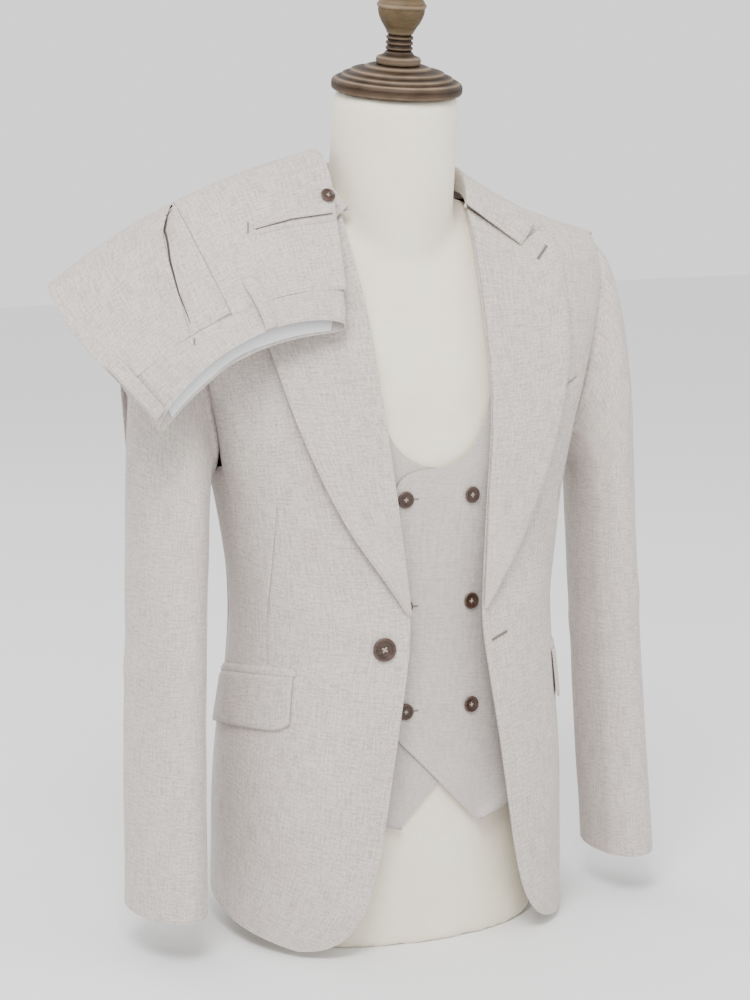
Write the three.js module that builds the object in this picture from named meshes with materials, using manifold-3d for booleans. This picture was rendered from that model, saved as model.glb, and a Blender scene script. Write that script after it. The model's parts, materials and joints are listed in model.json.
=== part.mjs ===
// A three-piece suit on a limbless counter-top dress form: jacket worn open over a
// double-breasted waistcoat, with the trousers folded on their creases over one shoulder.
// Millimetres, +Z up. The form faces -Y, the wearer's left is +X, and the origin is the
// middle of the form's flat underside.
import * as THREE from "three";
import { mergeVertices } from "three/addons/utils/BufferGeometryUtils.js";
import Module from "manifold-3d";

// ---------------------------------------------------------------- driving dimensions
const seamGap = 0.3;
const jacketCloth = 1.6;
const waistcoatCloth = 1.4;
const trouserCloth = 1.4;
const armpitHeight = 455;
const ridgeDepth = 8;
const formDrop = 13.5;
const ease = 2.3;
const neckRadius = 60;
const neckTilt = THREE.MathUtils.degToRad(8);

// ---------------------------------------------------------------- cloth
const materials = {
  suiting: { color: "#b9afa6", roughness: 0.95, metalness: 0 },
  lining: { color: "#d9dadb", roughness: 0.4, metalness: 0 },
  linen: { color: "#e6dfcd", roughness: 0.95, metalness: 0 },
  wood: { color: "#4f3a28", roughness: 0.6, metalness: 0 },
  horn: { color: "#4a2e1f", roughness: 0.35, metalness: 0 },
};

const { lerp, smoothstep } = THREE.MathUtils;
const suit = new THREE.Group();

function addPiece(parent, name, geometry, finish) {
  const piece = new THREE.Mesh(geometry, new THREE.MeshStandardMaterial(materials[finish]));
  piece.name = name;
  parent.add(piece);
  return piece;
}

// Slope at a row between its two neighbouring steps, which never overshoots either.
function easySlope(stepIn, stepOut) {
  return stepIn * stepOut > 0 ? 2 * stepIn * stepOut / (stepIn + stepOut) : 0;
}

// Smooth curve through the rows of a table: the value of one column at a place along it.
function smoothAt(values, place) {
  const last = values.length - 1;
  const clamped = Math.min(Math.max(place, 0), last);
  const row = Math.min(Math.floor(clamped), last - 1);
  const t = clamped - row;
  const step = values[row + 1] - values[row];
  const stepIn = row > 0 ? values[row] - values[row - 1] : step;
  const stepOut = row < last - 1 ? values[row + 2] - values[row + 1] : step;
  const t2 = t * t;
  const t3 = t2 * t;
  return values[row] + (3 * t2 - 2 * t3) * step
    + (t3 - 2 * t2 + t) * easySlope(stepIn, step) + (t3 - t2) * easySlope(step, stepOut);
}

// The place along a table where its key column reaches a value.
function placeOf(rows, key, value) {
  const last = rows.length - 1;
  for (let row = 0; row < last; row += 1) {
    if (value <= rows[row + 1][key]) {
      return row + (value - rows[row][key]) / (rows[row + 1][key] - rows[row][key]);
    }
  }
  return last;
}

function columnAt(rows, column, place) {
  return smoothAt(rows.map((row) => row[column]), place);
}

function normalOf(surface, u, v) {
  const step = 0.004;
  const uLow = Math.max(u - step, 0);
  const uHigh = Math.min(u + step, 1);
  const vLow = Math.max(v - step, 0);
  const vHigh = Math.min(v + step, 1);
  const along = surface(uHigh, v).sub(surface(uLow, v));
  const up = surface(u, vHigh).sub(surface(u, vLow));
  return along.cross(up).normalize();
}

function closedGeometry(points, triangles) {
  let volume = 0;
  for (const [a, b, c] of triangles) {
    volume += points[a].dot(points[b].clone().cross(points[c]));
  }
  const faces = volume < 0 ? triangles.map(([a, b, c]) => [a, c, b]) : triangles;
  const geometry = new THREE.BufferGeometry();
  const position = points.flatMap((point) => [point.x, point.y, point.z]);
  geometry.setAttribute("position", new THREE.Float32BufferAttribute(position, 3));
  geometry.setIndex(faces.flat());
  return geometry;
}

function addQuad(triangles, a, b, c, d) {
  triangles.push([a, b, c], [a, c, d]);
}

// A wall of cloth between a face and the same face moved back along its normals. The face
// is a function of u, across, and v, up. Each edge stops half a seam gap short.
function clothWall(surface, { columns, rows, wall, inside }) {
  const outer = [];
  for (let j = 0; j <= rows; j += 1) {
    for (let i = 0; i <= columns; i += 1) {
      outer.push(surface(i / columns, j / rows));
    }
  }
  const at = (i, j) => j * (columns + 1) + i;
  let facing = 0;
  const normals = outer.map((point, index) => {
    const i = index % (columns + 1);
    const j = Math.floor(index / (columns + 1));
    const normal = normalOf(surface, i / columns, j / rows);
    facing += normal.dot(point.clone().sub(inside(point)));
    return normal;
  });
  const side = facing < 0 ? -1 : 1;
  const trimmed = outer.map((point, index) => {
    const i = index % (columns + 1);
    const j = Math.floor(index / (columns + 1));
    const moved = point.clone();
    const pull = (other) => moved.add(other.clone().sub(point).setLength(seamGap / 2));
    if (i === 0) pull(outer[at(1, j)]);
    if (i === columns) pull(outer[at(columns - 1, j)]);
    if (j === 0) pull(outer[at(i, 1)]);
    if (j === rows) pull(outer[at(i, rows - 1)]);
    return moved;
  });
  const inner = trimmed.map((point, index) => {
    const thick = typeof wall === "function" ? wall((index % (columns + 1)) / columns) : wall;
    return point.clone().addScaledVector(normals[index], -side * thick);
  });
  const points = [...trimmed, ...inner];
  const back = trimmed.length;
  const triangles = [];
  for (let j = 0; j < rows; j += 1) {
    for (let i = 0; i < columns; i += 1) {
      addQuad(triangles, at(i, j), at(i + 1, j), at(i + 1, j + 1), at(i, j + 1));
      const low = back + at(i, j);
      addQuad(triangles, low, back + at(i, j + 1), back + at(i + 1, j + 1), low + 1);
    }
  }
  for (let i = 0; i < columns; i += 1) {
    addQuad(triangles, at(i + 1, 0), at(i, 0), back + at(i, 0), back + at(i + 1, 0));
    addQuad(triangles, at(i, rows), at(i + 1, rows), back + at(i + 1, rows), back + at(i, rows));
  }
  for (let j = 0; j < rows; j += 1) {
    addQuad(triangles, at(0, j), at(0, j + 1), back + at(0, j + 1), back + at(0, j));
    addQuad(triangles, at(columns, j + 1), at(columns, j), back + at(columns, j), back + at(columns, j + 1));
  }
  return closedGeometry(points, triangles);
}

function mirrored(surface) {
  return (u, v) => {
    const point = surface(u, v);
    point.x = -point.x;
    return point;
  };
}

const bodyAxis = (point) => new THREE.Vector3(0, ridgeDepth, Math.min(point.z, 560));

// ---------------------------------------------------------------- body skins
// Shoulder line of the jacket, from the side of the neck to the sleevehead.
const shoulderLine = [
  { x: 0, height: 736 },
  { x: 60, height: 732 },
  { x: 80, height: 724 },
  { x: 100, height: 717 },
  { x: 127, height: 708 },
  { x: 158, height: 698.5 },
  { x: 185, height: 689 },
  { x: 211, height: 680.5 },
  { x: 226, height: 676 },
];

function shoulderHeight(x) {
  return columnAt(shoulderLine, "height", placeOf(shoulderLine, "x", Math.abs(x)));
}

// A skin round the body. Below the armpit it is a stack of level rings. Above the armpit
// its rings climb and flatten until they close on the shoulder line. An angle of 0 is
// centre front, 90 the side and 180 centre back. A rise of -1 is the hem plane, 0 the
// armpit and 1 the shoulder line.
function makeSkin({ rings, shoulderWidth, drop }) {
  const armpit = rings[rings.length - 1];
  const widthRows = shoulderWidth;

  function ringAt(rise) {
    if (rise <= 0) {
      const place = placeOf(rings, "z", armpitHeight * (1 + rise));
      const ring = {};
      for (const column of ["half", "mid", "front", "back", "power"]) {
        ring[column] = columnAt(rings, column, place);
      }
      ring.front += ring.mid;
      ring.back -= ring.mid;
      return ring;
    }
    return {
      half: columnAt(widthRows, "half", placeOf(widthRows, "rise", rise)),
      mid: ridgeDepth,
      front: (armpit.front + ridgeDepth) * (1 - rise ** 1.5) ** 0.65,
      back: (armpit.back - ridgeDepth) * (1 - rise ** 3.2) ** 0.55,
      power: armpit.power + 0.9 * rise,
    };
  }

  function heightAt(x, rise) {
    if (rise <= 0) return armpitHeight * (1 + rise);
    return armpitHeight + (shoulderHeight(x) - drop - armpitHeight) * rise;
  }

  function riseAt(x, z) {
    if (z <= armpitHeight) return z / armpitHeight - 1;
    return Math.min((z - armpitHeight) / (shoulderHeight(x) - drop - armpitHeight), 0.9999);
  }

  function at(angle, rise) {
    const ring = ringAt(rise);
    const turn = THREE.MathUtils.degToRad(angle);
    const sine = Math.sin(turn);
    const cosine = Math.cos(turn);
    const exponent = 2 / ring.power;
    const x = ring.half * Math.sign(sine) * Math.abs(sine) ** exponent;
    const reach = Math.abs(cosine) ** exponent;
    const y = ring.mid + (cosine > 0 ? -ring.front * reach : ring.back * reach);
    return new THREE.Vector3(x, y, heightAt(x, rise));
  }

  // Angle on the front half where the skin is x from the middle, at a rise.
  function angleAt(x, rise) {
    const ring = ringAt(rise);
    const share = Math.min(Math.abs(x) / ring.half, 1);
    return Math.sign(x) * THREE.MathUtils.radToDeg(Math.asin(share ** (ring.power / 2)));
  }

  function outwards(angle, rise) {
    const step = 0.5;
    const riseStep = 0.004;
    const low = Math.min(rise, 0.985);
    const along = at(angle + step, low).sub(at(angle - step, low));
    const up = at(angle, low + riseStep).sub(at(angle, low - riseStep));
    return along.cross(up).normalize();
  }

  function movedOut(angle, rise, distance) {
    return at(angle, rise).addScaledVector(outwards(angle, rise), distance);
  }

  return { at, angleAt, riseAt, movedOut };
}

// A panel cut on a skin from rungs. Each rung runs from an inner end to an outer end, and
// an end is given as an angle or as an x on the front half, with its height.
function rungEnds(skin, rung) {
  const innerRise = rung.innerRise ?? skin.riseAt(rung.innerX ?? 150, rung.innerZ);
  const outerRise = rung.outerRise ?? skin.riseAt(rung.outerX ?? 200, rung.outerZ);
  return {
    innerAngle: rung.innerAngle ?? skin.angleAt(rung.innerX, innerRise),
    innerRise,
    outerAngle: rung.outerAngle ?? skin.angleAt(rung.outerX, outerRise),
    outerRise,
  };
}

function rungPanel(skin, rungs, moveOut) {
  const ends = rungs.map((rung) => rungEnds(skin, rung));
  return (u, v) => {
    const place = v * (ends.length - 1);
    const innerAngle = columnAt(ends, "innerAngle", place);
    const innerRise = Math.min(columnAt(ends, "innerRise", place), 0.9999);
    const outerAngle = columnAt(ends, "outerAngle", place);
    const outerRise = Math.min(columnAt(ends, "outerRise", place), 0.9999);
    const angle = lerp(innerAngle, outerAngle, u);
    const rise = lerp(innerRise, outerRise, u);
    return skin.movedOut(angle, rise, moveOut(u, v));
  };
}

// ---------------------------------------------------------------- dress form
const formSkin = makeSkin({
  drop: formDrop,
  rings: [
    { z: 0, half: 147, mid: 4, front: 101, back: 116, power: 2.2 },
    { z: 110, half: 153, mid: 5, front: 103, back: 122, power: 2.2 },
    { z: 210, half: 148, mid: 3, front: 101, back: 110, power: 2.2 },
    { z: 315, half: 138, mid: 2, front: 98, back: 92, power: 2.2 },
    { z: 390, half: 146, mid: 4, front: 99, back: 98, power: 2.2 },
    { z: armpitHeight, half: 156, mid: ridgeDepth, front: 100, back: 108, power: 2.3 },
  ],
  shoulderWidth: [
    { rise: 0, half: 156 },
    { rise: 0.3, half: 170 },
    { rise: 0.6, half: 182 },
    { rise: 0.85, half: 191 },
    { rise: 1, half: 196 },
  ],
});

// Radius of the neck by distance up its own leaning axis.
const neckProfile = [
  { up: -60, radius: 0 },
  { up: -60, radius: 58 },
  { up: 0, radius: 61 },
  { up: 40, radius: 61 },
  { up: 70, radius: neckRadius },
  { up: 117, radius: neckRadius },
  { up: 117, radius: 0 },
];

function bodyShell(skin, around, rows) {
  const points = [];
  const triangles = [];
  const rise = (j) => (j / rows < 0.5 ? j / rows * 2 - 1 : Math.sin((j / rows - 0.5) * Math.PI));
  for (let j = 0; j <= rows; j += 1) {
    for (let i = 0; i < around; i += 1) {
      points.push(skin.at(i / around * 360, rise(j)));
    }
  }
  const underside = points.push(new THREE.Vector3(0, 0, 0)) - 1;
  for (let i = 0; i < around; i += 1) {
    const next = (i + 1) % around;
    triangles.push([underside, next, i]);
    for (let j = 0; j < rows; j += 1) {
      addQuad(triangles, j * around + i, j * around + next, (j + 1) * around + next, (j + 1) * around + i);
    }
  }
  const merged = mergeVertices(closedGeometry(points, triangles), 0.001);
  const index = merged.getIndex().array;
  const kept = [];
  for (let t = 0; t < index.length; t += 3) {
    const [a, b, c] = [index[t], index[t + 1], index[t + 2]];
    if (a !== b && b !== c && c !== a) kept.push(a, b, c);
  }
  merged.setIndex(kept);
  return merged;
}

const wasm = await Module();
wasm.setup();

function toSolid(geometry) {
  const bare = geometry.clone();
  bare.deleteAttribute("normal");
  bare.deleteAttribute("uv");
  const merged = mergeVertices(bare, 0.001);
  return new wasm.Manifold(new wasm.Mesh({
    numProp: 3,
    vertProperties: merged.getAttribute("position").array,
    triVerts: new Uint32Array(merged.getIndex().array),
  }));
}

function fromSolid(solid) {
  const mesh = solid.getMesh();
  const geometry = new THREE.BufferGeometry();
  geometry.setAttribute("position", new THREE.BufferAttribute(mesh.vertProperties, 3));
  geometry.setIndex(new THREE.BufferAttribute(mesh.triVerts, 1));
  return geometry;
}

function turned(profile, segments) {
  const outline = profile.map((row) => new THREE.Vector2(row.radius, row.up));
  return new THREE.LatheGeometry(outline, segments).rotateX(Math.PI / 2);
}

const neckFoot = new THREE.Vector3(0, 6, 700);
const neckLean = new THREE.Matrix4().makeRotationX(neckTilt).setPosition(neckFoot);
const neckGeometry = turned(neckProfile, 32).applyMatrix4(neckLean);
const formSolid = toSolid(bodyShell(formSkin, 48, 24)).add(toSolid(neckGeometry));
addPiece(suit, "form_body", fromSolid(formSolid), "linen");

// Turned wooden cap and finial, on the neck's own leaning axis.
const crown = new THREE.Group();
crown.position.copy(neckFoot);
crown.rotation.x = neckTilt;
suit.add(crown);

const capProfile = [
  { up: 117.3, radius: 0 },
  { up: 117.3, radius: 60.5 },
  { up: 119.5, radius: 62.5 },
  { up: 126, radius: 62.5 },
  { up: 129, radius: 59 },
  { up: 130.5, radius: 53 },
  { up: 133.5, radius: 52 },
  { up: 135, radius: 45 },
  { up: 138, radius: 43.5 },
  { up: 140, radius: 32 },
  { up: 143, radius: 26 },
  { up: 143, radius: 0 },
];
const finialBaseProfile = [
  { up: 143.3, radius: 0 },
  { up: 143.3, radius: 20 },
  { up: 146, radius: 21.5 },
  { up: 150, radius: 20.5 },
  { up: 153.5, radius: 14 },
  { up: 156, radius: 12.5 },
  { up: 156, radius: 0 },
];
const finialRingsProfile = [
  { up: 156.3, radius: 0 },
  { up: 156.3, radius: 11 },
  { up: 157.5, radius: 13 },
  { up: 160, radius: 13 },
  { up: 161.2, radius: 11 },
  { up: 162.4, radius: 13 },
  { up: 165, radius: 13 },
  { up: 166.2, radius: 11 },
  { up: 167.4, radius: 12.8 },
  { up: 170, radius: 12.8 },
  { up: 171.2, radius: 10.5 },
  { up: 171.2, radius: 0 },
];
const finialCupProfile = [
  { up: 171.5, radius: 0 },
  { up: 171.5, radius: 11.5 },
  { up: 175, radius: 13.5 },
  { up: 183, radius: 18.5 },
  { up: 192, radius: 22 },
  { up: 197, radius: 23 },
  { up: 199, radius: 23.6 },
  { up: 201, radius: 22.8 },
  { up: 205, radius: 20 },
  { up: 212, radius: 14 },
  { up: 216, radius: 7 },
  { up: 217, radius: 0 },
];
addPiece(crown, "neck_cap", turned(capProfile, 32), "wood");
addPiece(crown, "finial_base", turned(finialBaseProfile, 20), "wood");
addPiece(crown, "finial_rings", turned(finialRingsProfile, 20), "wood");
addPiece(crown, "finial_cup", turned(finialCupProfile, 20), "wood");

// ---------------------------------------------------------------- buttons
// A four-hole button is a turned dish with a raised rim. The holes are left to the finish.
function buttonGeometry(radius, thick) {
  const profile = [
    { up: 0, radius: 0 },
    { up: 0, radius: radius * 0.6 },
    { up: thick * 0.4, radius: radius * 0.94 },
    { up: thick * 0.75, radius },
    { up: thick, radius: radius * 0.9 },
    { up: thick * 0.72, radius: radius * 0.66 },
    { up: thick * 0.66, radius: 0 },
  ];
  return turned(profile, 16);
}

// Sews a button on a cloth piece: it comes in along the face's normal and its back stops a
// sewing gap off the cloth, flat to it.
const sewingGap = 0.4;
const clearOfCloth = 20;
function addButton(name, cloth, spot, { radius, thick, finish }) {
  const point = spot(0.5, 0.5);
  const inwards = normalOf(spot, 0.5, 0.5);
  if (inwards.dot(point.clone().sub(bodyAxis(point))) > 0) inwards.negate();
  cloth.updateMatrixWorld();
  const start = point.clone().addScaledVector(inwards, -clearOfCloth);
  const [hit] = new THREE.Raycaster(start, inwards).intersectObject(cloth);
  const button = addPiece(suit, name, buttonGeometry(radius, thick), finish);
  button.position.copy(hit.point).addScaledVector(hit.face.normal, sewingGap);
  button.quaternion.setFromUnitVectors(new THREE.Vector3(0, 0, 1), hit.face.normal);
}

// ---------------------------------------------------------------- waistcoat
const waistcoatButton = { radius: 8, thick: 2.6, finish: "horn" };
const waistcoatButtonX = 34;
const waistcoatButtonHeights = [440, 337, 235];
const underLayer = ease + waistcoatCloth;
const overLayer = underLayer + ease * 0.75 + waistcoatCloth;
const hemFlare = 5;
const sideEase = 2.6;

// The fronts, from the low point and slanting hem up through the side seam and armhole to
// the shoulder. Inner ends follow the hem point, the leading edge, the U neck and the strap.
const overFrontRungs = [
  { innerX: 38, innerZ: 122, outerX: 40, outerZ: 122.5 },
  { innerX: 20, innerZ: 141, outerX: 72, outerZ: 130 },
  { innerX: -4, innerZ: 167, outerX: 106, outerZ: 141 },
  { innerX: -28, innerZ: 193, outerX: 132, outerZ: 153 },
  { innerX: -40, innerZ: 205, outerAngle: 76, outerZ: 160 },
  { innerX: -48, innerZ: 218, outerAngle: 94, outerZ: 168 },
  { innerX: -48, innerZ: 300, outerAngle: 94, outerZ: 265 },
  { innerX: -48, innerZ: 390, outerAngle: 94, outerZ: 365 },
  { innerX: -48, innerZ: 466, outerAngle: 92, outerZ: 425 },
  { innerX: -8, innerZ: 466, outerX: 139, outerZ: 436 },
  { innerX: 20, innerZ: 470, outerX: 130, outerZ: 458 },
  { innerX: 42, innerZ: 486, outerX: 126, outerZ: 490 },
  { innerX: 57, innerZ: 520, outerX: 124, outerZ: 530 },
  { innerX: 69, innerZ: 575, outerX: 126, outerZ: 580 },
  { innerX: 78, innerZ: 622, outerX: 129, outerZ: 624 },
  { innerX: 84, innerZ: 655, outerX: 132, outerZ: 653 },
  { innerX: 90, innerRise: 0.88, outerX: 135, outerRise: 0.88 },
  { innerX: 94, innerRise: 0.955, outerX: 138, outerRise: 0.955 },
];

function addPanel(name, surface, columns, rows, wall, finish) {
  const grid = { columns, rows, wall, inside: bodyAxis };
  return addPiece(suit, name, clothWall(surface, grid), finish);
}

// The front stands off towards the side seam: by the side ease, which halves over the
// chest, and by the flare, which grows from the waist down to the hem.
const flareWaist = 0.42;
const chestEaseLoss = 0.55;
const sideShare = (u) => smoothstep(u, 0.28, 0.85);
function waistcoatFlare(u, v) {
  const chest = 1 - chestEaseLoss * smoothstep(v, 0.45, 0.75);
  const hem = 1 - smoothstep(v, 0, flareWaist);
  return sideShare(u) * (sideEase * chest + hemFlare * hem);
}
const overFront = rungPanel(formSkin, overFrontRungs, (u, v) => overLayer + waistcoatFlare(u, v));
const underLie = rungPanel(formSkin, overFrontRungs, (u, v) => underLayer + waistcoatFlare(u, v));
const underFront = mirrored(underLie);
const overFrontPiece = addPanel("waistcoat_over_front", overFront, 10, 17, waistcoatCloth, "suiting");
addPanel("waistcoat_under_front", underFront, 10, 17, waistcoatCloth, "suiting");

// Half of a back, from the centre to the side seam and armhole. Above its rows the panel
// turns over the shoulder, and its top edge is the back neck and the shoulder seam.
function backHalf(skin, rows, top) {
  return (u, v) => {
    const place = Math.min(v / top.from, 1) * (rows.length - 1);
    const edge = columnAt(rows, "angle", place);
    const share = Math.max((v - top.from) / (1 - top.from), 0);
    const topAngle = lerp(180, top.edgeAngle, u ** top.spread);
    const angle = lerp(lerp(180, edge, u), topAngle, share * share);
    const lowRise = skin.riseAt(150, columnAt(rows, "z", place));
    const topRise = lerp(top.neckRise, top.seamRise, Math.min(u / top.neckShare, 1) ** 2);
    const rise = lerp(lowRise, topRise, Math.sin(share * Math.PI / 2));
    return skin.movedOut(angle, rise, top.moveOut);
  };
}

const waistcoatBackRows = [
  { z: 172, angle: 96 },
  { z: 300, angle: 96 },
  { z: 428, angle: 96 },
  { z: 470, angle: 112 },
  { z: 530, angle: 121 },
  { z: 580, angle: 126 },
];
const waistcoatBackTop = {
  from: 0.6,
  edgeAngle: 144,
  spread: 0.9,
  neckRise: 0.76,
  seamRise: 0.955,
  neckShare: 0.52,
  moveOut: underLayer + ease / 2,
};
const waistcoatBackHalf = backHalf(formSkin, waistcoatBackRows, waistcoatBackTop);
const waistcoatBack = (u, v) => {
  const point = waistcoatBackHalf(Math.abs(2 * u - 1), v);
  point.x *= u < 0.5 ? -1 : 1;
  return point;
};
addPanel("waistcoat_back", waistcoatBack, 12, 13, waistcoatCloth, "suiting");

// Buttons sit in two columns on the over-front, in three pairs.
waistcoatButtonHeights.forEach((height, pair) => {
  [-1, 1].forEach((side) => {
    const rise = formSkin.riseAt(waistcoatButtonX, height);
    const angle = formSkin.angleAt(side * waistcoatButtonX, rise);
    const spot = (u, v) => formSkin.movedOut(angle + u - 0.5, rise + (v - 0.5) * 0.02, overLayer + 0.1);
    const column = side < 0 ? "edge" : "inner";
    addButton(`waistcoat_button_${column}_${pair + 1}`, overFrontPiece, spot, waistcoatButton);
  });
});

// ---------------------------------------------------------------- jacket body
const jacketSkin = makeSkin({
  drop: 0,
  rings: [
    { z: 0, half: 177, mid: 14, front: 138, back: 162, power: 2.3 },
    { z: 100, half: 176, mid: 14, front: 137, back: 161, power: 2.3 },
    { z: 170, half: 174, mid: 12, front: 135, back: 155, power: 2.3 },
    { z: 245, half: 167, mid: 9, front: 132, back: 135, power: 2.3 },
    { z: 316, half: 161, mid: 7, front: 126, back: 114, power: 2.3 },
    { z: 390, half: 170, mid: 7, front: 120, back: 114, power: 2.3 },
    { z: armpitHeight, half: 181, mid: ridgeDepth, front: 113, back: 121, power: 2.4 },
  ],
  shoulderWidth: [
    { rise: 0, half: 181 },
    { rise: 0.2, half: 194 },
    { rise: 0.42, half: 208 },
    { rise: 0.65, half: 222 },
    { rise: 0.85, half: 231 },
    { rise: 1, half: 225 },
  ],
});
const frontSeamAngle = 84;
const sideBackAngle = 115.6;
const backSeamAngle = 116;

// Front, hem to shoulder. The inner end runs round the cutaway, up the front edge to
// the break, and up the fold line of the lapel. The outer end is the side seam and armhole.
const jacketFrontRungs = [
  { innerX: 140, innerZ: 7, outerAngle: frontSeamAngle, outerZ: 20 },
  { innerX: 118, innerZ: 10, outerAngle: frontSeamAngle, outerZ: 42 },
  { innerX: 98, innerZ: 27, outerAngle: frontSeamAngle, outerZ: 70 },
  { innerX: 84, innerZ: 50, outerAngle: frontSeamAngle, outerZ: 98 },
  { innerX: 73, innerZ: 92, outerAngle: frontSeamAngle, outerZ: 135 },
  { innerX: 64, innerZ: 146, outerAngle: frontSeamAngle, outerZ: 182 },
  { innerX: 52, innerZ: 225, outerAngle: frontSeamAngle, outerZ: 245 },
  { innerX: 41, innerZ: 290, outerAngle: frontSeamAngle, outerZ: 305 },
  { innerX: 37, innerZ: 330, outerAngle: frontSeamAngle, outerZ: 345 },
  { innerX: 45, innerZ: 412, outerAngle: frontSeamAngle, outerZ: 415 },
  { innerX: 51, innerZ: 466, outerAngle: 84, outerZ: 458 },
  { innerX: 58, innerZ: 525, outerAngle: 79, outerZ: 500 },
  { innerX: 60, innerZ: 585, outerAngle: 74, outerZ: 555 },
  { innerX: 62, innerZ: 640, outerAngle: 73, outerZ: 608 },
  { innerX: 67, innerZ: 690, outerAngle: 77, outerZ: 646 },
  { innerX: 72, innerRise: 0.945, outerAngle: 82, outerRise: 0.945 },
  { innerX: 76, innerRise: 0.9997, outerX: 222, outerRise: 0.9988 },
];

const jacketBackRows = [
  { z: 28, angle: backSeamAngle },
  { z: 120, angle: backSeamAngle },
  { z: 220, angle: backSeamAngle },
  { z: 316, angle: backSeamAngle },
  { z: 400, angle: backSeamAngle },
  { z: 470, angle: backSeamAngle },
  { z: 525, angle: 119 },
  { z: 580, angle: 118 },
  { z: 630, angle: 113 },
];
const jacketBackTop = {
  from: 0.66,
  edgeAngle: 91,
  spread: 1.6,
  neckRise: 0.86,
  seamRise: 0.9996,
  neckShare: 0.26,
  moveOut: 0,
};

const jacketFront = rungPanel(jacketSkin, jacketFrontRungs, () => 0);

const jacketBack = backHalf(jacketSkin, jacketBackRows, jacketBackTop);

const jacketSide = (u, v) => {
  const angle = lerp(frontSeamAngle + 0.3, sideBackAngle, u);
  const top = lerp(459, 470, u) - 14 * Math.sin(u * Math.PI);
  const height = lerp(lerp(20, 28, u), top, v);
  return jacketSkin.movedOut(angle, jacketSkin.riseAt(170, height), 0);
};

const sides = [
  { side: "left", place: (surface) => surface },
  { side: "right", place: mirrored },
];
for (const { side, place } of sides) {
  addPanel(`jacket_front_${side}`, place(jacketFront), 7, 20, jacketCloth, "suiting");
  addPanel(`jacket_side_${side}`, place(jacketSide), 2, 9, jacketCloth, "suiting");
  addPanel(`jacket_back_${side}`, place(jacketBack), 6, 14, jacketCloth, "suiting");
}

// ---------------------------------------------------------------- lapels
// Each lapel lies on its front from the fold line to the outer edge, and lifts off it
// towards that edge. The top rungs are the gorge and the peak.
const lapelRungs = [
  { innerX: 37.5, innerZ: 333, outerX: 40, outerZ: 334 },
  { innerX: 41, innerZ: 372, outerX: 65, outerZ: 374 },
  { innerX: 45, innerZ: 412, outerX: 89, outerZ: 411 },
  { innerX: 49, innerZ: 455, outerX: 112, outerZ: 460 },
  { innerX: 54, innerZ: 497, outerX: 130, outerZ: 503 },
  { innerX: 58, innerZ: 538, outerX: 144, outerZ: 545 },
  { innerX: 60, innerZ: 585, outerX: 156, outerZ: 590 },
  { innerX: 63, innerZ: 640, outerX: 162, outerZ: 640 },
  { innerX: 66, innerZ: 701, outerX: 163, outerZ: 685 },
];
const lapelBase = jacketCloth + seamGap;
const lapelLift = 5;
const gorgeDip = 0.05;
const lapelLie = rungPanel(jacketSkin, lapelRungs, (u, v) => {
  const lowerRoll = Math.max(Math.sin(Math.min(v * 1.15 + 0.1, 1) * Math.PI), 0) ** 0.7;
  return lapelBase + 1.4 + lapelLift * Math.sin(u * Math.PI / 2) * lowerRoll + 1 - u;
});

// The top edge falls along the gorge to the end of the collar, then climbs to the peak.
function lapelSurface(u, v) {
  const dip = gorgeDip * (1 - Math.abs(2 * u - 1)) * v ** 6;
  return lapelLie(u, v * (1 - dip));
}

for (const { side, place } of sides) {
  addPanel(`jacket_lapel_${side}`, place(lapelSurface), 4, 13, jacketCloth, "suiting");
}

// ---------------------------------------------------------------- collar
// The collar is one folded strip. Across it, it climbs the neck as the stand, turns at the
// fold and falls as the leaf. The rows run from one gorge round the back of the neck.
const collarRows = [
  { foldX: 60, foldY: -35, foldZ: 709, edgeX: 117, edgeY: -45, edgeZ: 670.5, stand: 2.5 },
  { foldX: 64, foldY: -31, foldZ: 713, edgeX: 143, edgeY: -28, edgeZ: 690, stand: 8 },
  { foldX: 68, foldY: -22, foldZ: 724, edgeX: 141, edgeY: -17, edgeZ: 699, stand: 13 },
  { foldX: 71, foldY: -8, foldZ: 735, edgeX: 131, edgeY: -5, edgeZ: 707, stand: 18 },
  { foldX: 72, foldY: 6, foldZ: 740.5, edgeX: 121.6, edgeY: 9, edgeZ: 712.5, stand: 21 },
  { foldX: 70.5, foldY: 24, foldZ: 743, edgeX: 112, edgeY: 31, edgeZ: 711.7, stand: 22 },
  { foldX: 62, foldY: 44, foldZ: 744, edgeX: 100, edgeY: 60, edgeZ: 703.8, stand: 22 },
  { foldX: 47.5, foldY: 60.6, foldZ: 744.7, edgeX: 74.3, edgeY: 79.7, edgeZ: 700, stand: 22 },
  { foldX: 26.6, foldY: 69, foldZ: 745.3, edgeX: 40, edgeY: 89.6, edgeZ: 698, stand: 22 },
  { foldX: 0, foldY: 73, foldZ: 746, edgeX: 0, edgeY: 95, edgeZ: 696.8, stand: 22 },
];
const collarFoldWidth = 5;
const collarCloth = 1.5;

function collarRow(along) {
  const half = (collarRows.length - 1) * (1 - Math.abs(2 * along - 1));
  const row = {};
  for (const column of Object.keys(collarRows[0])) {
    row[column] = columnAt(collarRows, column, half);
  }
  const side = along < 0.5 ? 1 : -1;
  return {
    fold: new THREE.Vector3(side * row.foldX, row.foldY, row.foldZ),
    edge: new THREE.Vector3(side * row.edgeX, row.edgeY, row.edgeZ),
    stand: row.stand,
  };
}

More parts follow.
